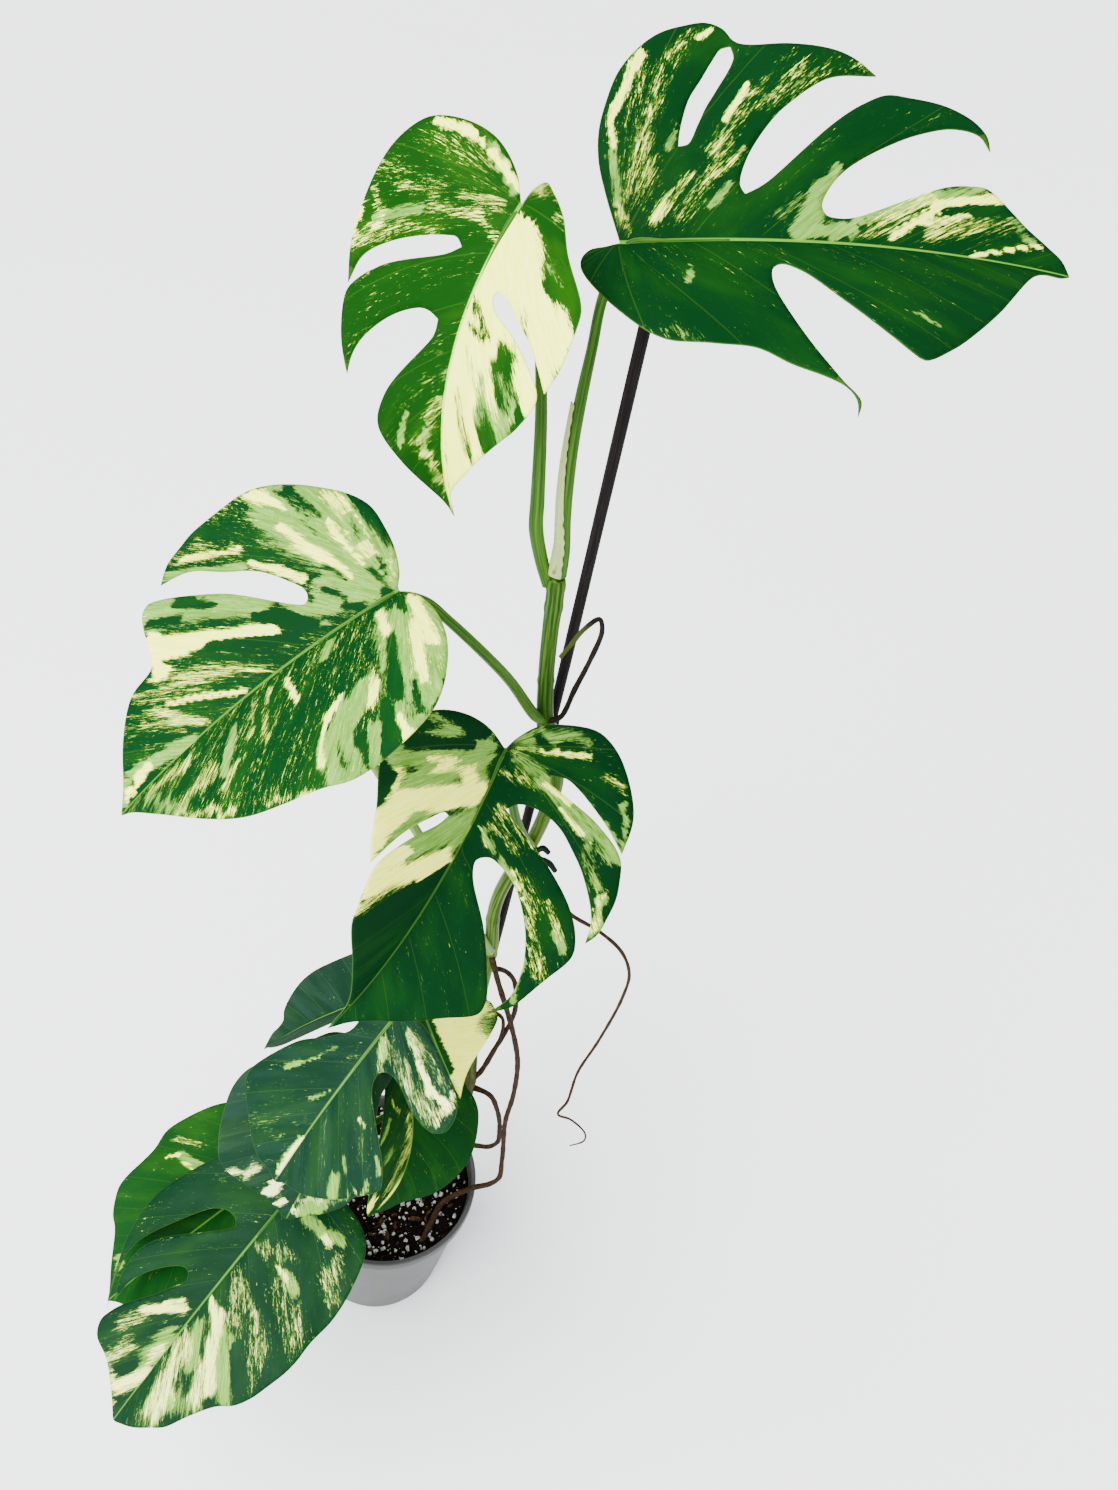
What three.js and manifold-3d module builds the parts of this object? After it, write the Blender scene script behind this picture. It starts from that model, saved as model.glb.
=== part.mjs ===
// Potted albo variegata monstera: a climbing aroid with eleven leaves, tied to a thin stake in a
// round nursery pot. Millimetres, +Z up, origin at the centre of the pot's underside, +X to the
// viewer's right and +Y away from the viewer.
import * as THREE from 'three';
import { mergeVertices } from 'three/addons/utils/BufferGeometryUtils.js';
import Module from 'manifold-3d';

const wasm = await Module();
wasm.setup();

// Driving dimensions
const gap = 0.3; // clearance between pieces that touch
const potHeight = 149;
const potBaseRadius = 63;
const potWallTopRadius = 81.2; // outer radius of the wall right under the rim band
const potRimRadius = 85;
const rimBandHeight = 10;
const rimLipWidth = 4.4;
const potWall = 2;
const potFloor = 4;
const drainHoleRadius = 5;
const drainHoleCircle = 44;
const turnSteps = 32; // sides of the turned pot and soil
const soilLevel = 136;
const bladeThickness = 0.8;
const soil = {
  seed: 11, lumps: 26, barkEvery: 5, smallest: 2.2, largest: 3.8, lumpRise: 0.7, lumpReach: 68,
  unevenReach: 64, ringStep: 16,
};
const tie = { height: 2.6, stemReach: 7, stakeReach: 4.9 };
const blade = { edgeStep: 7.5, innerStep: 19, wave: 1.6 };

// Paths of the slender pieces. Each station is [x, y, z, radius].
const stemPath = [
  [45, 7, 72, 5.4], [46, 8, 144, 5.4], [51, 8, 185, 5.2], [57, 8, 262, 5], [59, 8, 324, 5.4],
  [56, 8, 375, 4.9], [55, 8, 422, 5], [54, 8, 465, 4.8], [55, 8, 506, 5.3], [52, 8, 545, 4.8],
  [53, 8, 566, 4.8], [57, 8, 588, 4.8], [67, 8, 624, 4.8], [73, 8, 659, 4.8], [75, 8, 689, 4.8],
  [69, 8, 714, 4.8], [61, 8, 735, 5.3], [56, 9, 766, 4.8], [53, 10, 801, 4.8], [52, 10, 822, 5.2],
  [51, 10, 836, 5.2],
];
const stakePath = [
  [40.5, 19, 9, 3.3], [57.1, 19, 505, 3.3], [64.3, 19.5, 735, 3.3], [69.3, 20, 985, 3.3],
];
const stubPath = [[55, 3, 510, 3.4], [22, -2, 573, 3.2], [-11, -8, 637, 3], [-38, -14, 688, 2.8]];
const rootPaths = {
  root_a: [
    [57, 4, 503, 2.4], [64, -1, 486, 2.2], [74, -5, 462, 2.2], [83, -4, 434, 2.2], [94, 0, 384, 2.2],
    [98, 3, 330, 2.2], [97, 7, 275, 2.2], [103, 10, 205, 2.3], [104, 6, 178, 2.4], [97, 4, 167, 2.4],
    [83, 2, 157, 2.5], [73, -2, 151, 2.5], [64, -6, 145, 2.6], [56, -14, 141, 2.8], [51, -32, 139, 3],
    [46, -50, 137, 2.6],
  ],
  root_b: [
    [56, 8, 483, 2.2], [67, 12, 480, 2], [76, 14, 470, 2], [81, 14, 452, 2], [83, 13, 429, 2],
    [80, 12, 404, 2], [74, 10, 377, 2.2], [66, 8, 342, 2.4], [60, 8, 328, 2.4],
  ],
  root_d: [
    [60, 8, 318, 2.6], [77, 6, 315, 2.3], [88, 12, 283, 2.2], [95, 24, 225, 2.2], [95, 31, 194, 2.2],
    [88, 31, 184, 2.2], [74, 31, 180, 2.2], [66, 34, 162, 2.2], [60, 37, 128, 2],
  ],
  root_e: [
    [66, 7, 610, 1.5], [84, 1, 602, 1.4], [105, 0, 575, 1.3], [128, 0, 563, 1.2], [147, 0, 547, 1.2],
    [158, 0, 524, 1.1], [159, 0, 495, 1], [152, 0, 434, 1], [144, 0, 385, 0.9], [143, 0, 340, 0.9],
    [139, 0, 317, 0.8], [150, 0, 314, 0.7], [166, 0, 297, 0.7], [167, 0, 284, 0.6], [157, 0, 272, 0.6],
  ],
  root_f: [
    [61, 6, 737, 1.8], [69, 3, 745, 1.7], [74, 4, 768, 1.7], [79, 5, 790, 1.6], [82, 5, 812, 1.5],
    [79, 4, 820, 1.5], [72, 3, 812, 1.4], [66, 2, 799, 1.4], [62, 2, 790, 1.3],
  ],
};
// A side root that joins root_b lower down
const rootBSpur = [[66, 9, 430, 1.4], [74, 9, 424, 1.5], [77, 10, 406, 1.6], [76, 11, 384, 1.6]];

// Middle line of the dry sheath beside the top petiole, with that petiole's radius
const sheathPath = [
  [51.3, 11, 846, 4.2], [51, 12, 858, 4], [48, 11, 882, 3.9], [46, 10, 912, 3.5], [46, 8, 940, 3.2],
];

// Leaves from the top down. base is where the petiole meets the blade; heading, pitch and roll
// turn the midrib in degrees, and droop bends it over its length. On each half, lift is the angle
// at the midrib and curl the further bend over 100 mm. An edge runs from the base to the tip as
// [distance along the midrib, distance from it].
const leaves = [
  {
    name: 'leaf_01',
    base: [51, -5, 1021], heading: 10, pitch: 12, roll: 21, droop: 18, length: 211,
    left: {
      lift: 20, curl: 6,
      edge: [
        [-5, 24], [-7, 40], [-6, 54], [-2, 68], [4, 82], [13, 94], [23, 103], [33, 108], [44, 111],
        [51, 108], [57, 100], [80, 98], [103, 96], [111, 93], [119, 87], [97, 81], [79, 68], [70, 59],
        [58, 40], [54, 26], [56, 22], [60, 24], [66, 28], [98, 59], [111, 70], [124, 78], [135, 78],
        [147, 76], [157, 72], [165, 67], [170, 61], [171, 54], [166, 61], [153, 63], [141, 60],
        [128, 54], [101, 35], [92, 23], [90, 17], [92, 13], [97, 12], [105, 13], [149, 33],
        [160, 35], [169, 35], [181, 26], [188, 20], [200, 12], [207, 7],
      ],
      hole: [
        [28, 45], [29, 52], [34, 69], [40, 80], [46, 91], [50, 97], [54, 98], [55, 92], [46, 74],
        [41, 65], [37, 56], [32, 46],
      ],
    },
    right: {
      lift: 17, curl: 17,
      edge: [
        [-7, 3], [-12, 4], [-16, 9], [-18, 17], [-17, 26], [-10, 44], [3, 66], [9, 73], [15, 77],
        [32, 79], [48, 80], [60, 88], [72, 95], [79, 101], [81, 107], [80, 117], [84, 110], [78, 97],
        [67, 68], [61, 43], [61, 32], [63, 25], [67, 22], [74, 27], [88, 50], [102, 73], [109, 83],
        [113, 86], [128, 76], [142, 63], [157, 47], [189, 8], [196, 4], [204, 4],
      ],
    },
    petiole: [
      [51.3, 11, 838, 4], [51, 12, 852, 3.9], [48, 11, 877, 3.8], [46, 10, 912, 3.3],
      [46, 8, 938, 3], [47, 5, 968, 2.5], [48, 2, 996, 2.3],
    ],
  },
  {
    name: 'leaf_02',
    base: [8, -20, 1032], heading: -147, pitch: -58, roll: -2, droop: 54, length: 156,
    left: {
      lift: 6, curl: 17,
      edge: [
        [-8, 1], [-13, 6], [-12, 15], [-7, 33], [2, 50], [12, 73], [16, 77], [36, 79], [49, 76],
        [43, 67], [38, 57], [35, 47], [31, 26], [32, 20], [35, 18], [38, 22], [41, 45], [46, 62],
        [53, 73], [68, 69], [80, 60], [112, 31], [141, 4], [148, 2],
      ],
    },
    right: {
      lift: 26, curl: 9,
      edge: [
        [-8, 10], [-13, 27], [-11, 45], [-4, 62], [1, 67], [12, 72], [33, 75], [54, 77], [68, 73],
        [56, 68], [43, 52], [28, 25], [26, 19], [28, 15], [34, 21], [53, 53], [65, 68], [72, 73],
        [88, 71], [104, 65], [95, 62], [85, 56], [69, 40], [59, 24], [58, 18], [59, 13], [66, 13],
        [103, 38], [120, 45], [126, 43], [136, 30], [149, 4],
      ],
    },
    petiole: [
      [47, 10, 831, 3], [41, 10.5, 845, 3.4], [35, 8, 866, 3.7], [33.5, 5, 884, 3.6],
      [28, -1, 939, 2.8], [19, -5, 991, 2.3], [13, -10, 1018, 2.2],
    ],
  },
  {
    name: 'leaf_03',
    base: [-24, -50, 848], heading: -141, pitch: -25, roll: 0, droop: 23, length: 183,
    left: {
      lift: 16, curl: 19,
      edge: [
        [-5, 12], [-7, 30], [-5, 49], [-1, 62], [5, 74], [12, 84], [22, 92], [40, 96], [59, 98],
        [69, 97], [80, 92], [98, 85], [117, 74], [135, 57], [160, 26], [176, 6],
      ],
    },
    right: {
      lift: 20, curl: 4,
      edge: [
        [-5, 8], [-10, 21], [-12, 34], [-12, 52], [-6, 65], [3, 75], [13, 84], [24, 92], [34, 97],
        [45, 99], [68, 98], [78, 94], [88, 89], [96, 81], [81, 78], [67, 66], [53, 54], [43, 38],
        [39, 29], [40, 24], [43, 22], [48, 26], [71, 53], [82, 62], [100, 74], [107, 77], [112, 75],
        [116, 68], [120, 55], [124, 48], [139, 45], [146, 41], [159, 28], [173, 10],
      ],
    },
    petiole: [
      [58, 5, 739, 3.4], [54, 1, 744, 3.4], [37, -9, 773, 3.2], [22, -20, 796, 3.1],
      [-1, -32, 824, 2.9], [-12, -38, 836, 2.8],
    ],
  },
  {
    name: 'leaf_04',
    base: [43, -50, 758], heading: -107, pitch: -53, roll: -52, droop: 32, length: 219,
    left: {
      lift: 20, curl: 8,
      edge: [
        [-8, 4], [-18, 13], [-23, 24], [-27, 44], [-26, 53], [-20, 65], [-12, 74], [5, 87],
        [15, 92], [34, 96], [22, 78], [7, 50], [4, 41], [5, 31], [9, 33], [13, 44], [22, 71],
        [37, 97], [51, 105], [61, 108], [72, 108], [84, 107], [91, 103], [76, 98], [54, 80],
        [41, 64], [31, 49], [26, 33], [27, 20], [32, 15], [38, 25], [51, 49], [72, 79], [90, 95],
        [103, 101], [123, 97], [143, 91], [149, 88], [157, 77], [142, 83], [124, 79], [104, 68],
        [85, 54], [72, 41], [64, 27], [62, 19], [66, 13], [76, 16], [104, 39], [132, 59],
        [150, 70], [161, 71], [173, 54], [187, 36], [198, 17], [207, 7],
      ],
    },
    right: {
      lift: 21, curl: 11,
      edge: [
        [-9, 21], [-13, 42], [-12, 62], [-8, 74], [-2, 82], [5, 88], [13, 91], [21, 91], [44, 79],
        [58, 73], [74, 65], [55, 52], [45, 38], [41, 29], [43, 24], [48, 28], [58, 44], [68, 55],
        [76, 60], [88, 60], [102, 57], [112, 54], [147, 30], [182, 8], [196, 3], [208, 2],
      ],
    },
    petiole: [
      [69, 6, 627, 3.2], [66, 0, 636, 3.2], [58, -13, 662, 3.1], [52, -24, 691, 3], [48, -33, 720, 2.9],
      [45, -40, 745, 2.8],
    ],
  },
  {
    name: 'leaf_05',
    base: [3, -72, 517], heading: -128, pitch: -43, roll: -5, droop: 16, length: 154,
    left: {
      lift: 12, curl: 17,
      edge: [
        [-7, 5], [-9, 20], [-4, 45], [8, 74], [16, 80], [28, 81], [35, 75], [37, 67], [36, 54],
        [30, 34], [31, 23], [36, 18], [41, 18], [47, 21], [56, 32], [66, 47], [75, 60], [81, 66],
        [88, 70], [102, 62], [123, 45], [140, 24], [148, 7],
      ],
    },
    right: {
      lift: -4, curl: 4,
      edge: [
        [-7, 4], [-12, 14], [-8, 24], [6, 24], [20, 20], [31, 20], [46, 30], [65, 47], [77, 54],
        [100, 64], [110, 67], [118, 67], [126, 62], [132, 56], [142, 43], [150, 31], [153, 22],
        [152, 9],
      ],
    },
    petiole: [
      [52, 6, 493, 3.2], [44, -2, 508, 3.1], [33, -22, 536, 2.9], [20, -46, 549, 2.7],
      [10, -60, 537, 2.6],
    ],
  },
  {
    name: 'leaf_06',
    base: [-13, -60, 433], heading: -116, pitch: -50, roll: -20, droop: 16, length: 152,
    left: {
      lift: 5, curl: 10,
      edge: [
        [-6, 5], [-8, 13], [0, 18], [19, 18], [40, 24], [62, 31], [86, 37], [108, 36], [127, 25],
        [143, 9],
      ],
    },
    right: {
      lift: 6, curl: 8,
      edge: [
        [-8, 10], [-11, 22], [-7, 36], [5, 47], [20, 56], [34, 66], [48, 78], [68, 83], [90, 80],
        [112, 74], [129, 67], [135, 59], [138, 48], [142, 21], [149, 6],
      ],
    },
    petiole: [
      [52, 6, 378, 3.2], [43, 0, 398, 3.1], [24, -12, 436, 2.9], [4, -34, 457, 2.7],
      [-8, -50, 448, 2.6],
    ],
  },
  {
    name: 'leaf_07',
    base: [-58, -88, 276], heading: -118, pitch: -17, roll: 6, droop: 10, length: 205,
    left: {
      lift: 6, curl: 12,
      edge: [
        [-7, 6], [-13, 20], [-13, 40], [-6, 67], [2, 79], [11, 85], [34, 91], [57, 93], [76, 91],
        [92, 91], [103, 89], [117, 84], [130, 79], [141, 72], [150, 61], [166, 49], [183, 38],
        [190, 29], [198, 18], [203, 7],
      ],
    },
    right: {
      lift: 8, curl: 16,
      edge: [
        [-8, 8], [-12, 24], [-8, 44], [5, 60], [25, 72], [55, 88], [69, 93], [83, 94], [98, 92],
        [112, 88], [128, 81], [144, 72], [156, 62], [143, 71], [125, 78], [112, 78], [99, 73],
        [64, 52], [54, 43], [49, 32], [50, 23], [54, 19], [61, 25], [92, 59], [104, 68], [114, 72],
        [126, 72], [138, 69], [151, 60], [136, 61], [122, 55], [102, 36], [99, 29], [101, 24],
        [105, 22], [110, 25], [128, 37], [145, 51], [156, 57], [165, 59], [174, 53], [180, 35],
        [187, 23], [196, 11], [202, 4],
      ],
    },
    petiole: [
      [55, 6, 288, 3.4], [46, -3, 306, 3.2], [16, -30, 333, 3], [-20, -60, 326, 2.8],
      [-45, -78, 301, 2.7],
    ],
  },
  {
    name: 'leaf_08',
    base: [-76, -55, 246], heading: -132, pitch: -8, roll: -4, droop: 19, length: 173,
    left: {
      lift: 15, curl: 15,
      edge: [
        [-8, 8], [-14, 22], [-12, 40], [0, 60], [21, 74], [45, 82], [71, 80], [96, 73], [121, 60],
        [142, 38], [158, 19], [168, 5],
      ],
    },
    right: {
      lift: 16, curl: 14,
      edge: [
        [-8, 8], [-14, 22], [-12, 42], [0, 60], [21, 74], [42, 81], [63, 84], [71, 83], [84, 76],
        [96, 73], [111, 71], [121, 68], [130, 60], [136, 52], [140, 42], [156, 21], [168, 5],
      ],
    },
    petiole: [
      [48, 6, 196, 3.4], [36, -2, 212, 3.2], [-4, -20, 246, 3], [-44, -38, 262, 2.8],
      [-66, -49, 257, 2.6],
    ],
  },
  {
    name: 'leaf_09',
    base: [6, -35, 393], heading: -49, pitch: -30, roll: -34, droop: 82, length: 142,
    left: {
      lift: 24, curl: 6,
      edge: [
        [-7, 5], [-11, 18], [-6, 34], [10, 46], [31, 54], [38, 60], [48, 65], [56, 66], [72, 65],
        [87, 62], [107, 51], [114, 41], [121, 18], [132, 10],
      ],
    },
    right: {
      lift: 9, curl: 13,
      edge: [
        [-7, 5], [-9, 14], [-4, 24], [8, 32], [24, 42], [46, 52], [66, 55], [80, 54], [93, 49],
        [108, 36], [122, 18], [134, 5],
      ],
    },
    petiole: [
      [52, 6, 340, 3.2], [44, 2, 352, 3.1], [30, -8, 378, 2.9], [16, -20, 398, 2.7],
      [9, -29, 401, 2.6],
    ],
  },
  {
    name: 'leaf_10',
    base: [13, -48, 508], heading: 20, pitch: -75, roll: 55, droop: -12, length: 132,
    left: {
      lift: 6, curl: 13,
      edge: [
        [-6, 5], [-8, 14], [0, 28], [22, 38], [44, 45], [59, 50], [67, 54], [80, 55], [88, 54],
        [92, 50], [100, 37], [107, 22], [113, 14], [121, 7],
      ],
    },
    right: {
      lift: 7, curl: 15,
      edge: [
        [-6, 5], [-8, 12], [0, 22], [18, 28], [40, 32], [66, 31], [90, 25], [112, 13], [124, 5],
      ],
    },
    petiole: [
      [52, 5, 466, 3], [44, 0, 478, 2.9], [32, -12, 500, 2.7], [22, -28, 514, 2.5],
      [16, -40, 515, 2.4],
    ],
  },
  {
    name: 'leaf_11',
    base: [-16, -20, 461], heading: -179, pitch: -40, roll: 13, droop: 15, length: 137,
    left: {
      lift: 23, curl: 12,
      edge: [
        [-6, 5], [-8, 14], [0, 30], [12, 40], [32, 46], [52, 50], [62, 52], [75, 48], [100, 30],
        [122, 12],
      ],
    },
    right: {
      lift: 21, curl: 10,
      edge: [
        [-7, 6], [-10, 18], [-4, 34], [18, 46], [47, 53], [79, 54], [93, 52], [105, 47], [114, 38],
        [118, 28], [116, 17], [121, 13], [128, 11],
      ],
    },
    petiole: [
      [50, 7, 444, 3], [40, 6, 456, 2.9], [18, 0, 480, 2.7], [-4, -10, 484, 2.5],
      [-12, -16, 473, 2.4],
    ],
  },
];

// Closed geometry to solid and back
function toSolid(geometry) {
  const bare = geometry.clone();
  bare.deleteAttribute('normal');
  bare.deleteAttribute('uv');
  const merged = mergeVertices(bare, 1e-4);
  const mesh = new wasm.Mesh({
    numProp: 3,
    vertProperties: new Float32Array(merged.attributes.position.array),
    triVerts: new Uint32Array(merged.index.array),
  });
  return new wasm.Manifold(mesh);
}

function toGeometry(solid) {
  const mesh = solid.getMesh();
  const geometry = new THREE.BufferGeometry();
  geometry.setAttribute('position', new THREE.BufferAttribute(new Float32Array(mesh.vertProperties), 3));
  geometry.setIndex(new THREE.BufferAttribute(new Uint32Array(mesh.triVerts), 1));
  return geometry;
}

function joined(solids) {
  return solids.reduce((sum, solid) => sum.add(solid));
}

function cutBy(solid, cutters) {
  return cutters.reduce((rest, cutter) => rest.subtract(cutter), solid);
}

// A closed skin over rings of points that all have the same count
function loftGeometry(rings) {
  const count = rings[0].length;
  const positions = rings.flat().flatMap((point) => [point.x, point.y, point.z]);
  const index = [];
  for (let ring = 0; ring + 1 < rings.length; ring += 1) {
    for (let i = 0; i < count; i += 1) {
      const a = ring * count + i;
      const b = ring * count + ((i + 1) % count);
      index.push(a, b, b + count, a, b + count, a + count);
    }
  }
  const last = (rings.length - 1) * count;
  for (let i = 1; i + 1 < count; i += 1) {
    index.push(0, i + 1, i);
    index.push(last, last + i, last + i + 1);
  }
  const geometry = new THREE.BufferGeometry();
  geometry.setAttribute('position', new THREE.Float32BufferAttribute(positions, 3));
  geometry.setIndex(index);
  return geometry;
}

// Points, directions and radii along a smooth path through the stations
function sampledPath(stations, stepLength) {
  const curve = new THREE.CatmullRomCurve3(stations.map(([x, y, z]) => new THREE.Vector3(x, y, z)));
  const samples = [];
  for (let span = 0; span + 1 < stations.length; span += 1) {
    const from = new THREE.Vector3(...stations[span]);
    const to = new THREE.Vector3(...stations[span + 1]);
    const steps = Math.max(1, Math.round(from.distanceTo(to) / stepLength));
    for (let i = 0; i < steps; i += 1) {
      const radius = lerp(stations[span][3], stations[span + 1][3], i / steps);
      samples.push({ at: span + i / steps, radius });
    }
  }
  samples.push({ at: stations.length - 1, radius: stations[stations.length - 1][3] });
  for (const sample of samples) {
    const t = sample.at / (stations.length - 1);
    sample.point = curve.getPoint(t);
    sample.tangent = curve.getTangent(t);
  }
  return samples;
}

function lerp(a, b, t) {
  return a + (b - a) * t;
}

// A tapered round tube along a path; extra widens it and lengthens its ends
function tubeGeometry(stations, { sides = 8, step = 24, extra = 0 } = {}) {
  const samples = sampledPath(stations, step);
  const side = new THREE.Vector3(1, 0, 0);
  const rings = samples.map(({ point, tangent, radius }, i) => {
    side.addScaledVector(tangent, -side.dot(tangent)).normalize();
    const across = new THREE.Vector3().crossVectors(tangent, side);
    const centre = point.clone();
    if (i === 0) centre.addScaledVector(tangent, -extra);
    if (i === samples.length - 1) centre.addScaledVector(tangent, extra);
    const ring = [];
    for (let k = 0; k < sides; k += 1) {
      const angle = (2 * Math.PI * k) / sides;
      ring.push(centre.clone()
        .addScaledVector(side, (radius + extra) * Math.cos(angle))
        .addScaledVector(across, (radius + extra) * Math.sin(angle)));
    }
    return ring;
  });
  return loftGeometry(rings);
}

function tube(stations, options) {
  return toSolid(tubeGeometry(stations, options));
}

// Inner radius of the pot's tapered wall at a height
function innerWallAt(z) {
  return lerp(potBaseRadius, potWallTopRadius, z / (potHeight - rimBandHeight)) - potWall;
}

// Pot: one closed profile turned round the axis, with drain holes in its floor
function potSolid() {
  const bandFoot = potHeight - rimBandHeight;
  const profile = [
    [0, 0], [potBaseRadius - 2, 0], [potBaseRadius, 2], [potWallTopRadius, bandFoot],
    [potRimRadius - 0.5, bandFoot], [potRimRadius, bandFoot + 1], [potRimRadius, potHeight - 1],
    [potRimRadius - 1, potHeight], [potRimRadius - rimLipWidth + 0.8, potHeight],
    [potRimRadius - rimLipWidth, potHeight - 1], [innerWallAt(bandFoot - 2), bandFoot - 2],
    [innerWallAt(potFloor), potFloor], [0, potFloor],
  ];
  const body = toSolid(new THREE.LatheGeometry(profile.map(([r, z]) => new THREE.Vector2(r, z)), turnSteps)
    .rotateX(Math.PI / 2));
  const holes = [];
  for (let i = 0; i < 4; i += 1) {
    const angle = Math.PI / 4 + (i * Math.PI) / 2;
    const hole = new THREE.CylinderGeometry(drainHoleRadius, drainHoleRadius, 4 * potFloor, 12);
    hole.rotateX(Math.PI / 2);
    hole.translate(drainHoleCircle * Math.cos(angle), drainHoleCircle * Math.sin(angle), 0);
    holes.push(toSolid(hole));
  }
  return cutBy(body, holes);
}

// Seeded draws for the soil's lumps
function makeRandom(seed) {
  let state = seed;
  return () => {
    state = (state * 1664525 + 1013904223) % 4294967296;
    return state / 4294967296;
  };
}

// Soil: a plug that follows the pot's wall, uneven on top, with grains and bark fused in and a
// plain hole for everything that stands in it
// Height of the uneven soil surface
function soilHeight(x, y) {
  return soilLevel + 1.2 * Math.sin(x / 7) * Math.cos(y / 9) + 0.8 * Math.sin(y / 5);
}

function soilSolid(standing) {
  const floor = potFloor + gap;
  const wallAt = (z) => innerWallAt(z) - 1.5 * gap;
  const profile = [[0, floor], [wallAt(floor), floor], [wallAt(soilLevel), soilLevel]];
  for (let r = soil.unevenReach; r > 0; r -= soil.ringStep) profile.push([r, soilLevel]);
  profile.push([0, soilLevel]);
  const plug = new THREE.LatheGeometry(profile.map(([r, z]) => new THREE.Vector2(r, z)), turnSteps)
    .rotateX(Math.PI / 2);
  const position = plug.attributes.position;
  for (let i = 0; i < position.count; i += 1) {
    const [x, y, z] = [position.getX(i), position.getY(i), position.getZ(i)];
    if (z >= soilLevel && Math.hypot(x, y) <= soil.unevenReach + 1) position.setZ(i, soilHeight(x, y));
  }
  const random = makeRandom(soil.seed);
  const lumps = [];
  for (let i = 0; i < soil.lumps; i += 1) {
    const reach = soil.lumpReach * Math.sqrt(random());
    const turn = 2 * Math.PI * random();
    const [x, y] = [reach * Math.cos(turn), reach * Math.sin(turn)];
    const size = lerp(soil.smallest, soil.largest, random());
    const isBark = i % soil.barkEvery === 0;
    const bark = new THREE.BoxGeometry(4 * size, 1.6 * size, size);
    const lump = isBark ? bark : new THREE.IcosahedronGeometry(size, 0);
    lump.rotateX(0.5 * random());
    lump.rotateZ(2 * Math.PI * random());
    lump.translate(x, y, soilHeight(x, y) + soil.lumpRise);
    lumps.push(toSolid(lump));
  }
  return cutBy(joined([toSolid(plug), ...lumps]), standing);
}

// Frame of a leaf at its base: tangent along the midrib, right-hand side, and upper face normal
function leafFrame({ heading, pitch, roll }) {
  const h = THREE.MathUtils.degToRad(heading);
  const p = THREE.MathUtils.degToRad(pitch);
  const tangent = new THREE.Vector3(Math.cos(h) * Math.cos(p), Math.sin(h) * Math.cos(p), Math.sin(p));
  const right = new THREE.Vector3(Math.sin(h), -Math.cos(h), 0);
  const normal = new THREE.Vector3().crossVectors(right, tangent);
  const turn = THREE.MathUtils.degToRad(roll);
  right.applyAxisAngle(tangent, turn);
  normal.applyAxisAngle(tangent, turn);
  return { tangent, right, normal };
}

// Point of the blade's middle surface at u along the midrib and v to its right
function leafPoint(leaf, u, v) {
  const { tangent, right, normal } = leafFrame(leaf);
  const bend = THREE.MathUtils.degToRad(leaf.droop) / leaf.length;
  const half = v < 0 ? leaf.left : leaf.right;
  const lift = THREE.MathUtils.degToRad(half.lift);
  const curl = THREE.MathUtils.degToRad(half.curl) / 100;
  const s = Math.abs(v);
  const out = (Math.sin(lift) - Math.sin(lift - curl * s)) / curl;
  const wave = blade.wave * Math.min(1, s / 80) ** 2 * Math.sin(u / 13 + (v < 0 ? 1 : 0));
  const up = (Math.cos(lift - curl * s) - Math.cos(lift)) / curl + wave;
  return new THREE.Vector3(...leaf.base)
    .addScaledVector(tangent, Math.sin(bend * u) / bend + up * Math.sin(bend * u))
    .addScaledVector(normal, -(1 - Math.cos(bend * u)) / bend + up * Math.cos(bend * u))
    .addScaledVector(right, Math.sign(v) * out);
}

function leafNormal(leaf, u, v) {
  const step = 0.5;
  const side = v < 0 ? -step : step;
  const here = leafPoint(leaf, u, v);
  const along = leafPoint(leaf, u + step, v).sub(here);
  if (Math.abs(v) < 0.01) {
    const across = leafPoint(leaf, u, step).sub(leafPoint(leaf, u, -step));
    return across.cross(along).normalize();
  }
  const across = leafPoint(leaf, u, v + side).sub(here).multiplyScalar(Math.sign(side));
  return across.cross(along).normalize();
}

// Smooth runs between the corners of an outline; a corner is a turn sharper than 75 degrees
function smoothLoop(points, step) {
  const count = points.length;
  const at = (i) => points[(i + count) % count];
  const isCorner = (i) => {
    const before = at(i).clone().sub(at(i - 1)).normalize();
    const after = at(i + 1).clone().sub(at(i)).normalize();
    return before.dot(after) < Math.cos(THREE.MathUtils.degToRad(75));
  };
  const smooth = [];
  for (let i = 0; i < count; i += 1) {
    const start = at(i);
    const end = at(i + 1);
    const before = isCorner(i) ? start.clone().multiplyScalar(2).sub(end) : at(i - 1);
    const after = isCorner(i + 1) ? end.clone().multiplyScalar(2).sub(start) : at(i + 2);
    const controls = [before, start, end, after].map((p) => new THREE.Vector3(p.x, p.y, 0));
    const span = new THREE.CatmullRomCurve3(controls);
    const pieces = Math.max(1, Math.round(start.distanceTo(end) / step));
    for (let k = 0; k < pieces; k += 1) {
      const point = span.getPoint((1 + k / pieces) / 3);
      smooth.push(new THREE.Vector2(point.x, point.y));
    }
  }
  return smooth;
}

function isInside(point, loops) {
  let inside = false;
  for (const loop of loops) {
    for (let i = 0, j = loop.length - 1; i < loop.length; j = i, i += 1) {
      const a = loop[i];
      const b = loop[j];
      const crosses = (a.y > point.y) !== (b.y > point.y);
      if (crosses && point.x < ((b.x - a.x) * (point.y - a.y)) / (b.y - a.y) + a.x) inside = !inside;
    }
  }
  return inside;
}

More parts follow.
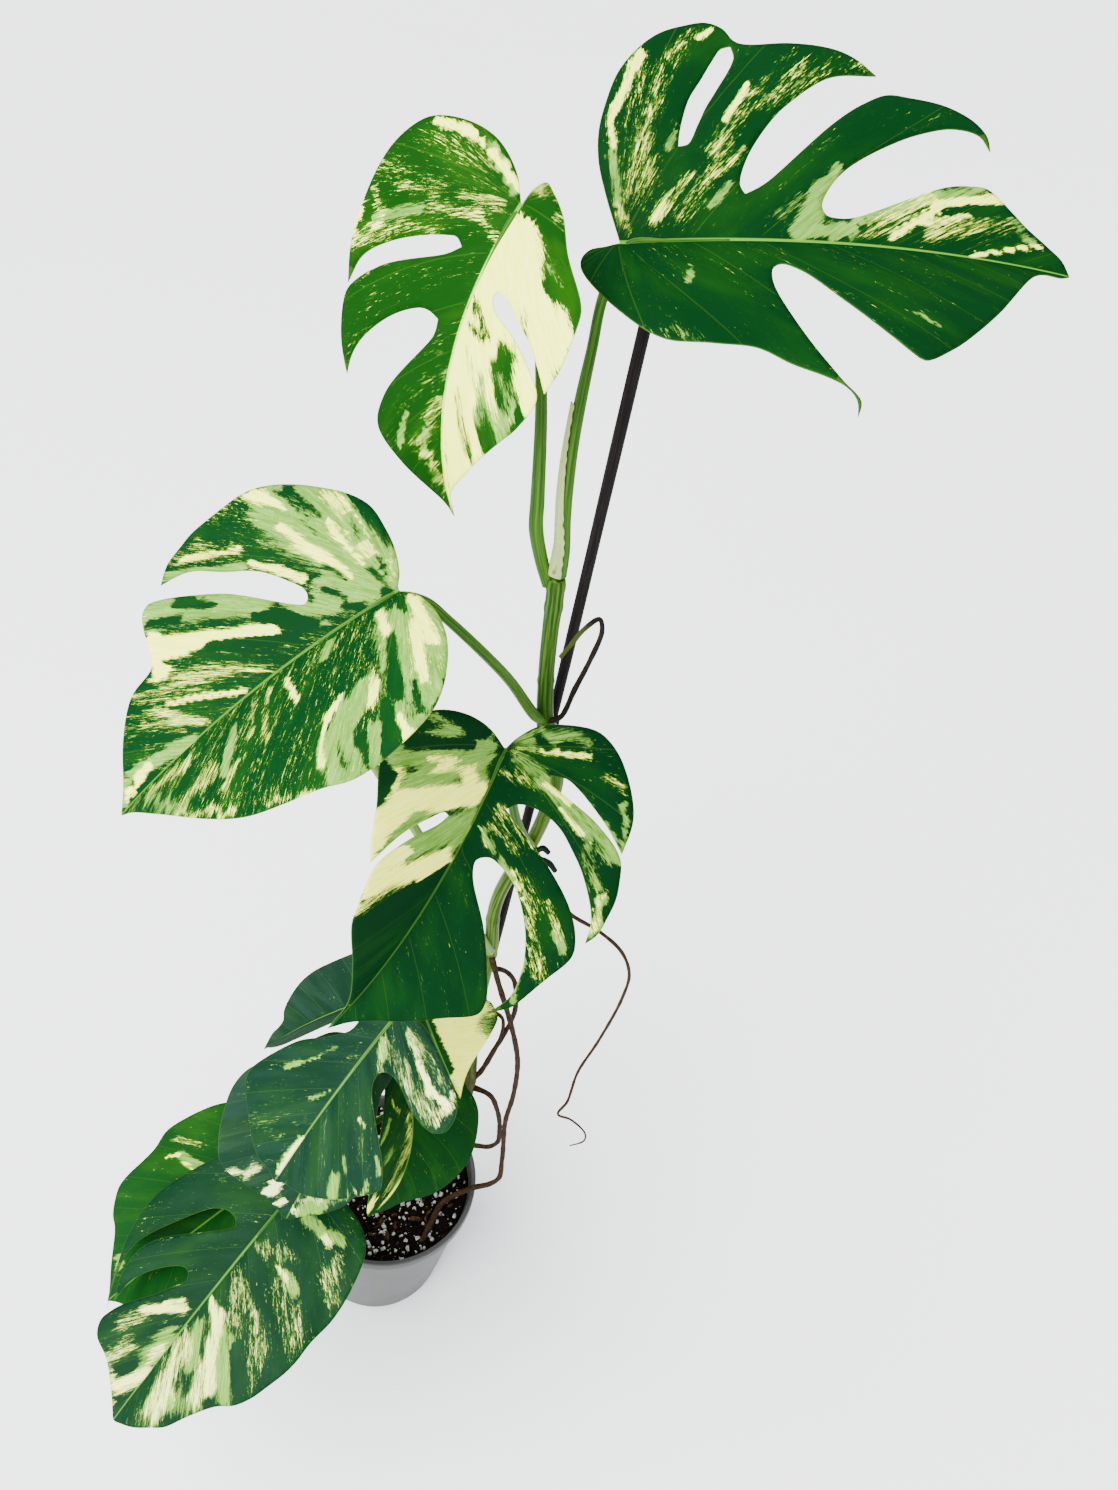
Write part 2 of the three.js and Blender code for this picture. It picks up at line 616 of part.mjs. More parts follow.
function edgeDistance(point, loops) {
  let nearest = Infinity;
  const line = new THREE.Line3();
  const target = new THREE.Vector3();
  const spot = new THREE.Vector3(point.x, point.y, 0);
  for (const loop of loops) {
    for (let i = 0; i < loop.length; i += 1) {
      const next = loop[(i + 1) % loop.length];
      line.start.set(loop[i].x, loop[i].y, 0);
      line.end.set(next.x, next.y, 0);
      nearest = Math.min(nearest, line.closestPointToPoint(spot, true, target).distanceTo(spot));
    }
  }
  return nearest;
}

// Delaunay triangles of a set of points, by adding them one at a time
function delaunay(points) {
  const far = 5000;
  const frame = [[-far, -far], [far, -far], [0, far]].map(([x, y]) => new THREE.Vector2(x, y));
  const all = [...points, ...frame];
  const circle = (a, b, c) => {
    const [p, q, r] = [all[a], all[b], all[c]];
    const d = 2 * ((q.x - p.x) * (r.y - p.y) - (q.y - p.y) * (r.x - p.x));
    const qq = (q.x - p.x) ** 2 + (q.y - p.y) ** 2;
    const rr = (r.x - p.x) ** 2 + (r.y - p.y) ** 2;
    const x = ((r.y - p.y) * qq - (q.y - p.y) * rr) / d;
    const y = ((q.x - p.x) * rr - (r.x - p.x) * qq) / d;
    return { corners: [a, b, c], x: p.x + x, y: p.y + y, rr: x * x + y * y };
  };
  let triangles = [circle(points.length, points.length + 1, points.length + 2)];
  points.forEach((point, n) => {
    const hit = triangles.filter((t) => (point.x - t.x) ** 2 + (point.y - t.y) ** 2 < t.rr);
    const edges = new Map();
    for (const { corners: [a, b, c] } of hit) {
      for (const [from, to] of [[a, b], [b, c], [c, a]]) {
        const twin = `${to},${from}`;
        if (edges.has(twin)) edges.delete(twin);
        else edges.set(`${from},${to}`, [from, to]);
      }
    }
    triangles = triangles.filter((t) => !hit.includes(t));
    for (const [from, to] of edges.values()) triangles.push(circle(from, to, n));
  });
  return triangles.map((t) => t.corners).filter((corners) => corners.every((c) => c < points.length));
}

// Adds the middle of each outline edge that the triangles miss, until all are there
function triangulated(loops, inner) {
  let current = loops;
  for (let round = 0; round < 8; round += 1) {
    const points = [...current.flat(), ...inner];
    const triangles = delaunay(points);
    const sides = new Set(triangles.flatMap(([a, b, c]) => [`${a},${b}`, `${b},${c}`, `${c},${a}`]));
    let first = 0;
    let missing = 0;
    const finer = current.map((loop) => {
      const next = [];
      loop.forEach((point, i) => {
        const from = first + i;
        const to = first + ((i + 1) % loop.length);
        next.push(point);
        if (!sides.has(`${from},${to}`)) {
          next.push(point.clone().lerp(loop[(i + 1) % loop.length], 0.5));
          missing += 1;
        }
      });
      first += loop.length;
      return next;
    });
    if (missing === 0) {
      const kept = triangles.filter(([a, b, c]) => isInside(
        new THREE.Vector2().add(points[a]).add(points[b]).add(points[c]).divideScalar(3), current));
      return { loops: current, points, triangles: kept };
    }
    current = finer;
  }
  throw new Error('an outline edge is missing');
}

// Points inside a blade: a row on the midrib and staggered rows beside it
function innerPoints(leaf, loops) {
  const points = [];
  const step = blade.innerStep;
  for (let u = 0; u < leaf.length; u += 0.8 * step) points.push(new THREE.Vector2(u, 0));
  for (let row = -9; row <= 9; row += 1) {
    for (let u = -30; u < leaf.length && row !== 0; u += step) {
      const offset = (row % 2) * 0.5 * step + 0.1 * Math.sin(7 * u + row);
      points.push(new THREE.Vector2(u + offset, 0.8 * step * row));
    }
  }
  return points.filter((point) => isInside(point, loops) && edgeDistance(point, loops) > 0.3 * step);
}

function outlineLoops(leaf) {
  const tip = new THREE.Vector2(leaf.length, 0);
  const base = new THREE.Vector2(0, 0);
  const side = (edge, sign) => edge.map(([u, v]) => new THREE.Vector2(u, sign * v));
  const outer = [base, ...side(leaf.left.edge, -1), tip, ...side(leaf.right.edge, 1).reverse()];
  const loops = [smoothLoop(outer, blade.edgeStep)];
  if (leaf.left.hole) loops.push(smoothLoop(side(leaf.left.hole, -1), blade.edgeStep));
  return loops.map((loop, i) => {
    const wantCounterClockwise = i === 0;
    return THREE.ShapeUtils.area(loop) > 0 === wantCounterClockwise ? loop : loop.reverse();
  });
}

// Blade: two alike faces half a thickness either side of the middle surface, closed by a rim
function bladeSolid(leaf) {
  const outline = outlineLoops(leaf);
  const { loops, points, triangles } = triangulated(outline, innerPoints(leaf, outline));
  const positions = [];
  for (const side of [0.5, -0.5]) {
    for (const { x: u, y: v } of points) {
      const spot = leafPoint(leaf, u, v).addScaledVector(leafNormal(leaf, u, v), side * bladeThickness);
      positions.push(spot.x, spot.y, spot.z);
    }
  }
  const under = points.length;
  const index = [];
  for (const [a, b, c] of triangles) {
    index.push(c, b, a);
    index.push(under + a, under + b, under + c);
  }
  let first = 0;
  for (const loop of loops) {
    for (let i = 0; i < loop.length; i += 1) {
      const a = first + i;
      const b = first + ((i + 1) % loop.length);
      index.push(under + b, under + a, a, under + b, a, b);
    }
    first += loop.length;
  }
  const geometry = new THREE.BufferGeometry();
  geometry.setAttribute('position', new THREE.Float32BufferAttribute(positions, 3));
  geometry.setIndex(index);
  return toSolid(geometry);
}

// Petiole: from the stem to the base of the blade, and on as a rib under the midrib
function petioleStations(leaf) {
  const last = leaf.petiole[leaf.petiole.length - 1];
  const rib = [[4, 0.95], [22, 0.75], [48, 0.5]].map(([u, share]) => {
    const radius = last[3] * share;
    const spot = leafPoint(leaf, u, 0).addScaledVector(leafNormal(leaf, u, 0), -0.75 * radius);
    return [spot.x, spot.y, spot.z, radius];
  });
  return [...leaf.petiole, ...rib];
}

function petioleTube(leaf, options) {
  return tube(petioleStations(leaf), { step: 25, sides: 7, ...options });
}

// Sheath: a thin dry leaf base wrapped part of the way round the top petiole
function sheathSolid() {
  const samples = sampledPath(sheathPath, 16);
  const spread = [1.25, 1.3, 1.1, 0.9, 0.75, 0.6, 0.5, 0.4]; // half angle of the wrap, from the base up
  const steps = 5;
  const side = new THREE.Vector3(-0.9, -0.45, 0);
  const rings = samples.map(({ point, tangent, radius }, n) => {
    side.addScaledVector(tangent, -side.dot(tangent)).normalize();
    const across = new THREE.Vector3().crossVectors(tangent, side);
    const half = spread[Math.min(n, spread.length - 1)];
    const arc = (r) => {
      const points = [];
      for (let i = 0; i <= steps; i += 1) {
        const angle = lerp(-half, half, i / steps);
        points.push(point.clone()
          .addScaledVector(side, r * Math.cos(angle))
          .addScaledVector(across, r * Math.sin(angle)));
      }
      return points;
    };
    return { outer: arc(radius + 1.5), inner: arc(radius + 0.6) };
  });
  const positions = rings.flatMap((ring) => [...ring.outer, ...ring.inner])
    .flatMap((p) => [p.x, p.y, p.z]);
  const width = steps + 1;
  const ringSize = 2 * width;
  const loop = [...Array(width).keys(), ...Array.from({ length: width }, (_, i) => ringSize - 1 - i)];
  const index = [];
  for (let n = 0; n + 1 < rings.length; n += 1) {
    for (let i = 0; i < ringSize; i += 1) {
      const a = n * ringSize + loop[i];
      const b = n * ringSize + loop[(i + 1) % ringSize];
      index.push(a, b, b + ringSize, a, b + ringSize, a + ringSize);
    }
  }
  const top = (rings.length - 1) * ringSize;
  for (let i = 0; i < steps; i += 1) {
    index.push(i, i + width, i + 1, i + 1, i + width, i + width + 1);
    index.push(top + i, top + i + 1, top + i + width, top + i + 1, top + i + width + 1, top + i + width);
  }
  const geometry = new THREE.BufferGeometry();
  geometry.setAttribute('position', new THREE.Float32BufferAttribute(positions, 3));
  geometry.setIndex(index);
  return toSolid(geometry);
}

// Tie: a narrow strap wound round stem and stake
function tieBand(stemSpot, stakeSpot, level) {
  const { height, stemReach, stakeReach } = tie;
  const outline = [];
  const around = (centre, radius, from, to) => {
    for (let i = 0; i <= 6; i += 1) {
      const angle = lerp(from, to, i / 6);
      const x = centre[0] + radius * Math.cos(angle);
      const y = centre[1] + radius * Math.sin(angle);
      outline.push(new THREE.Vector2(x, y));
    }
  };
  const heading = Math.atan2(stakeSpot[1] - stemSpot[1], stakeSpot[0] - stemSpot[0]);
  around(stakeSpot, stakeReach, heading - Math.PI / 2, heading + Math.PI / 2);
  around(stemSpot, stemReach, heading + Math.PI / 2, heading + (3 * Math.PI) / 2);
  const band = new THREE.ExtrudeGeometry(new THREE.Shape(outline), { depth: height, bevelEnabled: false });
  return toSolid(band.translate(0, 0, level - height / 2));
}

const clearance = { extra: gap };
const stemOptions = { sides: 9, step: 24 };
const stemCutter = tube(stemPath, { ...stemOptions, ...clearance });
const stakeCutter = tube(stakePath, { sides: 10, step: 120, ...clearance });
const tieUpper = cutBy(tieBand([63, 8], [64, 19.5], 729), [stemCutter, stakeCutter]);
const tieTail = (stations) => tube(stations, { sides: 6, step: 8 });
const tieLower = cutBy(joined([
  tieBand([64.5, 8], [60.5, 19.1], 615),
  tieTail([[70.2, 5, 615.4, 1.2], [73, 4.5, 625, 1.4], [76.5, 4.5, 629, 1.6], [81, 4, 626, 1.3]]),
  tieTail([[70.2, 4, 614.6, 1.2], [76, 4, 618.5, 1.4], [82.5, 4, 616.5, 1.6], [88, 4, 610, 1.3]]),
]), [stemCutter, stakeCutter]);

const colours = {
  plastic: { color: 0x8b8a86, roughness: 0.45, metalness: 0 },
  soil: { color: 0x2b211b, roughness: 0.95, metalness: 0 },
  stake: { color: 0x1d1714, roughness: 0.7, metalness: 0 },
  stem: { color: 0x5f9a3c, roughness: 0.45, metalness: 0 },
  tie: { color: 0x16211c, roughness: 0.6, metalness: 0 },
  sheath: { color: 0xcfc79b, roughness: 0.8, metalness: 0 },
  root: { color: 0x5a3b28, roughness: 0.8, metalness: 0 },
  leaf: { color: 0x2f6b34, roughness: 0.4, metalness: 0 },
};

const plant = new THREE.Group();

function addPiece(name, solid, look) {
  const mesh = new THREE.Mesh(toGeometry(solid), new THREE.MeshStandardMaterial(colours[look]));
  mesh.name = name;
  plant.add(mesh);
}

const rootOptions = { sides: 7, step: 22 };
const rootSolids = {};
for (const [name, path] of Object.entries(rootPaths)) {
  const branches = name === 'root_b' ? [path, rootBSpur] : [path];
  const whole = joined(branches.map((branch) => tube(branch, rootOptions)));
  rootSolids[name] = cutBy(whole, [stemCutter, stakeCutter]);
}

const rootCutters = ['root_a', 'root_d'].map(
  (name) => tube(rootPaths[name], { ...rootOptions, ...clearance }));
addPiece('pot', potSolid(), 'plastic');
addPiece('soil', soilSolid([stemCutter, stakeCutter, ...rootCutters]), 'soil');
addPiece('stake', tube(stakePath, { sides: 10, step: 120 }), 'stake');
addPiece('stem', tube(stemPath, stemOptions), 'stem');
addPiece('tie_upper', tieUpper, 'tie');
addPiece('tie_lower', tieLower, 'tie');
const topPetioles = leaves.slice(0, 2).map((leaf) => petioleTube(leaf, clearance));
addPiece('sheath', cutBy(sheathSolid(), topPetioles), 'sheath');
addPiece('petiole_stub', cutBy(tube(stubPath, { step: 30 }), [stemCutter]), 'stem');
for (const [name, solid] of Object.entries(rootSolids)) addPiece(name, solid, 'root');
for (const leaf of leaves) {
  const neighbours = leaf === leaves[1] ? [stemCutter, topPetioles[0]] : [stemCutter];
  const solid = cutBy(joined([bladeSolid(leaf), petioleTube(leaf)]), neighbours);
  addPiece(leaf.name, solid, 'leaf');
}

export default plant;
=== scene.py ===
import math

import bpy
import numpy as np
from mathutils import Matrix, Vector
from mathutils.geometry import delaunay_2d_cdt


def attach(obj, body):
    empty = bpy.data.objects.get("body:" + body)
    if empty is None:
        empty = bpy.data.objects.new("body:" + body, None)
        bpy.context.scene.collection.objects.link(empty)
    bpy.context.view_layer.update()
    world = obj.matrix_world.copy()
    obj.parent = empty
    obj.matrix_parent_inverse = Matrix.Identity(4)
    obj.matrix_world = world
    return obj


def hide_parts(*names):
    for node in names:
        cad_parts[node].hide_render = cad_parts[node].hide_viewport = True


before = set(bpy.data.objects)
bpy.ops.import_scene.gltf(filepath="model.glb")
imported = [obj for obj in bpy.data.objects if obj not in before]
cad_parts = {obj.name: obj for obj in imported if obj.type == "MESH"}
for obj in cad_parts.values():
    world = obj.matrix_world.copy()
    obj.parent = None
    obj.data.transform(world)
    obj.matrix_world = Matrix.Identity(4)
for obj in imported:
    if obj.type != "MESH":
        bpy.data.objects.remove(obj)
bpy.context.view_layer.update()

# Potted albo variegata monstera: eleven leaves on a climbing stem, tied to a thin stake.
# Lengths in the tables are millimetres in the frame of the solids, and a path is a row of
# (x, y, z, radius) stations.
MM = 0.001

# View: the camera's place in metres, its angles in degrees and its focal length in photo pixels
VIEW_PLACE = (0.072, -0.516, 1.176)
VIEW_PITCH = 41.1
VIEW_ROLL = 12.4
SENSOR = 36
LONG_SIDE = 1490
FOCAL_PIXELS = 1118
LIGHT_TARGET = (0, 0, 0.6)

# Pot and soil
POT_HEIGHT = 149
POT_BASE_RADIUS = 63
POT_WALL_TOP_RADIUS = 81.2
POT_RIM_RADIUS = 85
RIM_BAND = 10
RIM_LIP = 4.4
POT_WALL = 2
POT_FLOOR = 4
DRAIN_HOLE_RADIUS = 5
DRAIN_HOLE_CIRCLE = 44
DRAIN_HOLES = 4
POT_SIDES = 128
SOIL_LEVEL = 136
SOIL_SIDES = 96
SOIL_RINGS = 50
SOIL_RING_STEP = 1.55
SOIL_CLEARANCE = 0.5

# Blades
BLADE_THICKNESS = 0.8
RIM_THICKNESS = 0.45
BLADE_WAVE = 1.6
EDGE_STEP = 2.2
INNER_STEP = 2.6
CORNER_ANGLE = 75
CURL_REACH = 100
MIDRIB_ROWS = (0, -1.1, 1.1, -2.4, 2.4)
MIDRIB_STEP = 2.2
PLEAT_HEIGHT = 0.7
GROOVE_DEPTH = 0.55
RIB_HEIGHT = 1.1
RIB_STATIONS = ((4, 0.95), (22, 0.75), (48, 0.5))
KNEE_FROM_END = 62
KNEE_WIDTH = 11
VEINS = 7
FAN_VEINS = 4
FAN_LEAN = 1.7
VEIN_BEND = 0.0016
VEIN_LEAN = ((0.45, 1.6), (0.45, 1.6))

STEM_PATH = [
    (45, 7, 72, 5.4), (46, 8, 144, 5.4), (51, 8, 185, 5.2), (57, 8, 262, 5), (59, 8, 324, 5.4),
    (56, 8, 375, 4.9), (55, 8, 422, 5), (54, 8, 465, 4.8), (55, 8, 506, 5.3), (52, 8, 545, 4.8),
    (53, 8, 566, 4.8), (57, 8, 588, 4.8), (67, 8, 624, 4.8), (73, 8, 659, 4.8), (75, 8, 689, 4.8),
    (69, 8, 714, 4.8), (61, 8, 735, 5.3), (56, 9, 766, 4.8), (53, 10, 801, 4.8),
    (52, 10, 822, 5.2), (51, 10, 836, 5.2),
]
STEM_RINGS = (255, 312, 372, 430, 470, 538, 645, 668, 700, 752, 766)
STEM_RING_WIDTH = 2.2
STAKE_PATH = [
    (40.5, 19, 9, 3.3), (57.1, 19, 505, 3.3), (64.3, 19.5, 735, 3.3), (69.3, 20, 985, 3.3),
]
STUB_PATH = [(55, 3, 510, 3.4), (22, -2, 573, 3.2), (-11, -8, 637, 3), (-38, -14, 688, 2.8)]
ROOT_PATHS = {
    "root_a": [
        (57, 4, 503, 2.4), (64, -1, 486, 2.2), (74, -5, 462, 2.2), (83, -4, 434, 2.2),
        (94, 0, 384, 2.2), (98, 3, 330, 2.2), (97, 7, 275, 2.2), (103, 10, 205, 2.3),
        (104, 6, 178, 2.4), (97, 4, 167, 2.4), (83, 2, 157, 2.5), (73, -2, 151, 2.5),
        (64, -6, 145, 2.6), (56, -14, 141, 2.8), (51, -32, 139, 3), (46, -50, 137, 2.6),
    ],
    "root_b": [
        (56, 8, 483, 2.2), (67, 12, 480, 2), (76, 14, 470, 2), (81, 14, 452, 2), (83, 13, 429, 2),
        (80, 12, 404, 2), (74, 10, 377, 2.2), (66, 8, 342, 2.4), (60, 8, 328, 2.4),
    ],
    "root_d": [
        (60, 8, 318, 2.6), (77, 6, 315, 2.3), (88, 12, 283, 2.2), (95, 24, 225, 2.2),
        (95, 31, 194, 2.2), (88, 31, 184, 2.2), (74, 31, 180, 2.2), (66, 34, 162, 2.2),
        (60, 37, 128, 2),
    ],
    "root_e": [
        (66, 7, 610, 1.6), (84, 1, 602, 1.5), (105, 0, 575, 1.5), (128, 0, 563, 1.4),
        (147, 0, 547, 1.4), (158, 0, 524, 1.3), (159, 0, 495, 1.3), (152, 0, 434, 1.2),
        (144, 0, 385, 1.2), (143, 0, 340, 1.2), (139, 0, 317, 1.1), (150, 0, 314, 0.9),
        (166, 0, 297, 0.8), (167, 0, 284, 0.7), (157, 0, 272, 0.6),
    ],
    "root_f": [
        (61, 6, 737, 1.8), (69, 3, 745, 1.7), (74, 4, 768, 1.7), (79, 5, 790, 1.6),
        (82, 5, 812, 1.5), (79, 4, 820, 1.5), (72, 3, 812, 1.4), (66, 2, 799, 1.4),
        (62, 2, 790, 1.3),
    ],
}
ROOT_B_SPUR = [(66, 9, 430, 1.4), (74, 9, 424, 1.5), (77, 10, 406, 1.6), (76, 11, 384, 1.6)]
YOUNG_ROOT_END = 92
SHEATH_PATH = [
    (51.3, 11, 839, 4.6), (51.2, 11.5, 848, 4.3), (51, 12, 858, 4), (48, 11, 882, 3.9),
    (46, 10, 912, 3.5), (46, 8, 940, 3.2),
]
SHEATH_SIDE = (-0.9, -0.45, 0)
SHEATH_STEPS = 18
SHEATH_LAYERS = ((1.5, 1), (0.65, -1))
TIE_STEM_REACH = 7
TIE_STAKE_REACH = 4.9
TIE_STEPS = 12
TIE_PROFILE = [
    (0, -1.3), (-0.1, -0.9), (0, -0.4), (-0.15, 0), (0, 0.4), (-0.1, 0.9), (0, 1.3), (-1.6, 1.3),
    (-1.6, -1.3),
]
TIE_TAILS = [
    [(70.2, 5, 615.4, 1.3), (73, 4.5, 625, 1.8), (76.5, 4.5, 629, 2.2), (81, 4, 626, 1.8)],
    [(70.2, 4, 614.6, 1.3), (76, 4, 618.5, 1.8), (82.5, 4, 616.5, 2.2), (88, 4, 610, 1.8)],
]

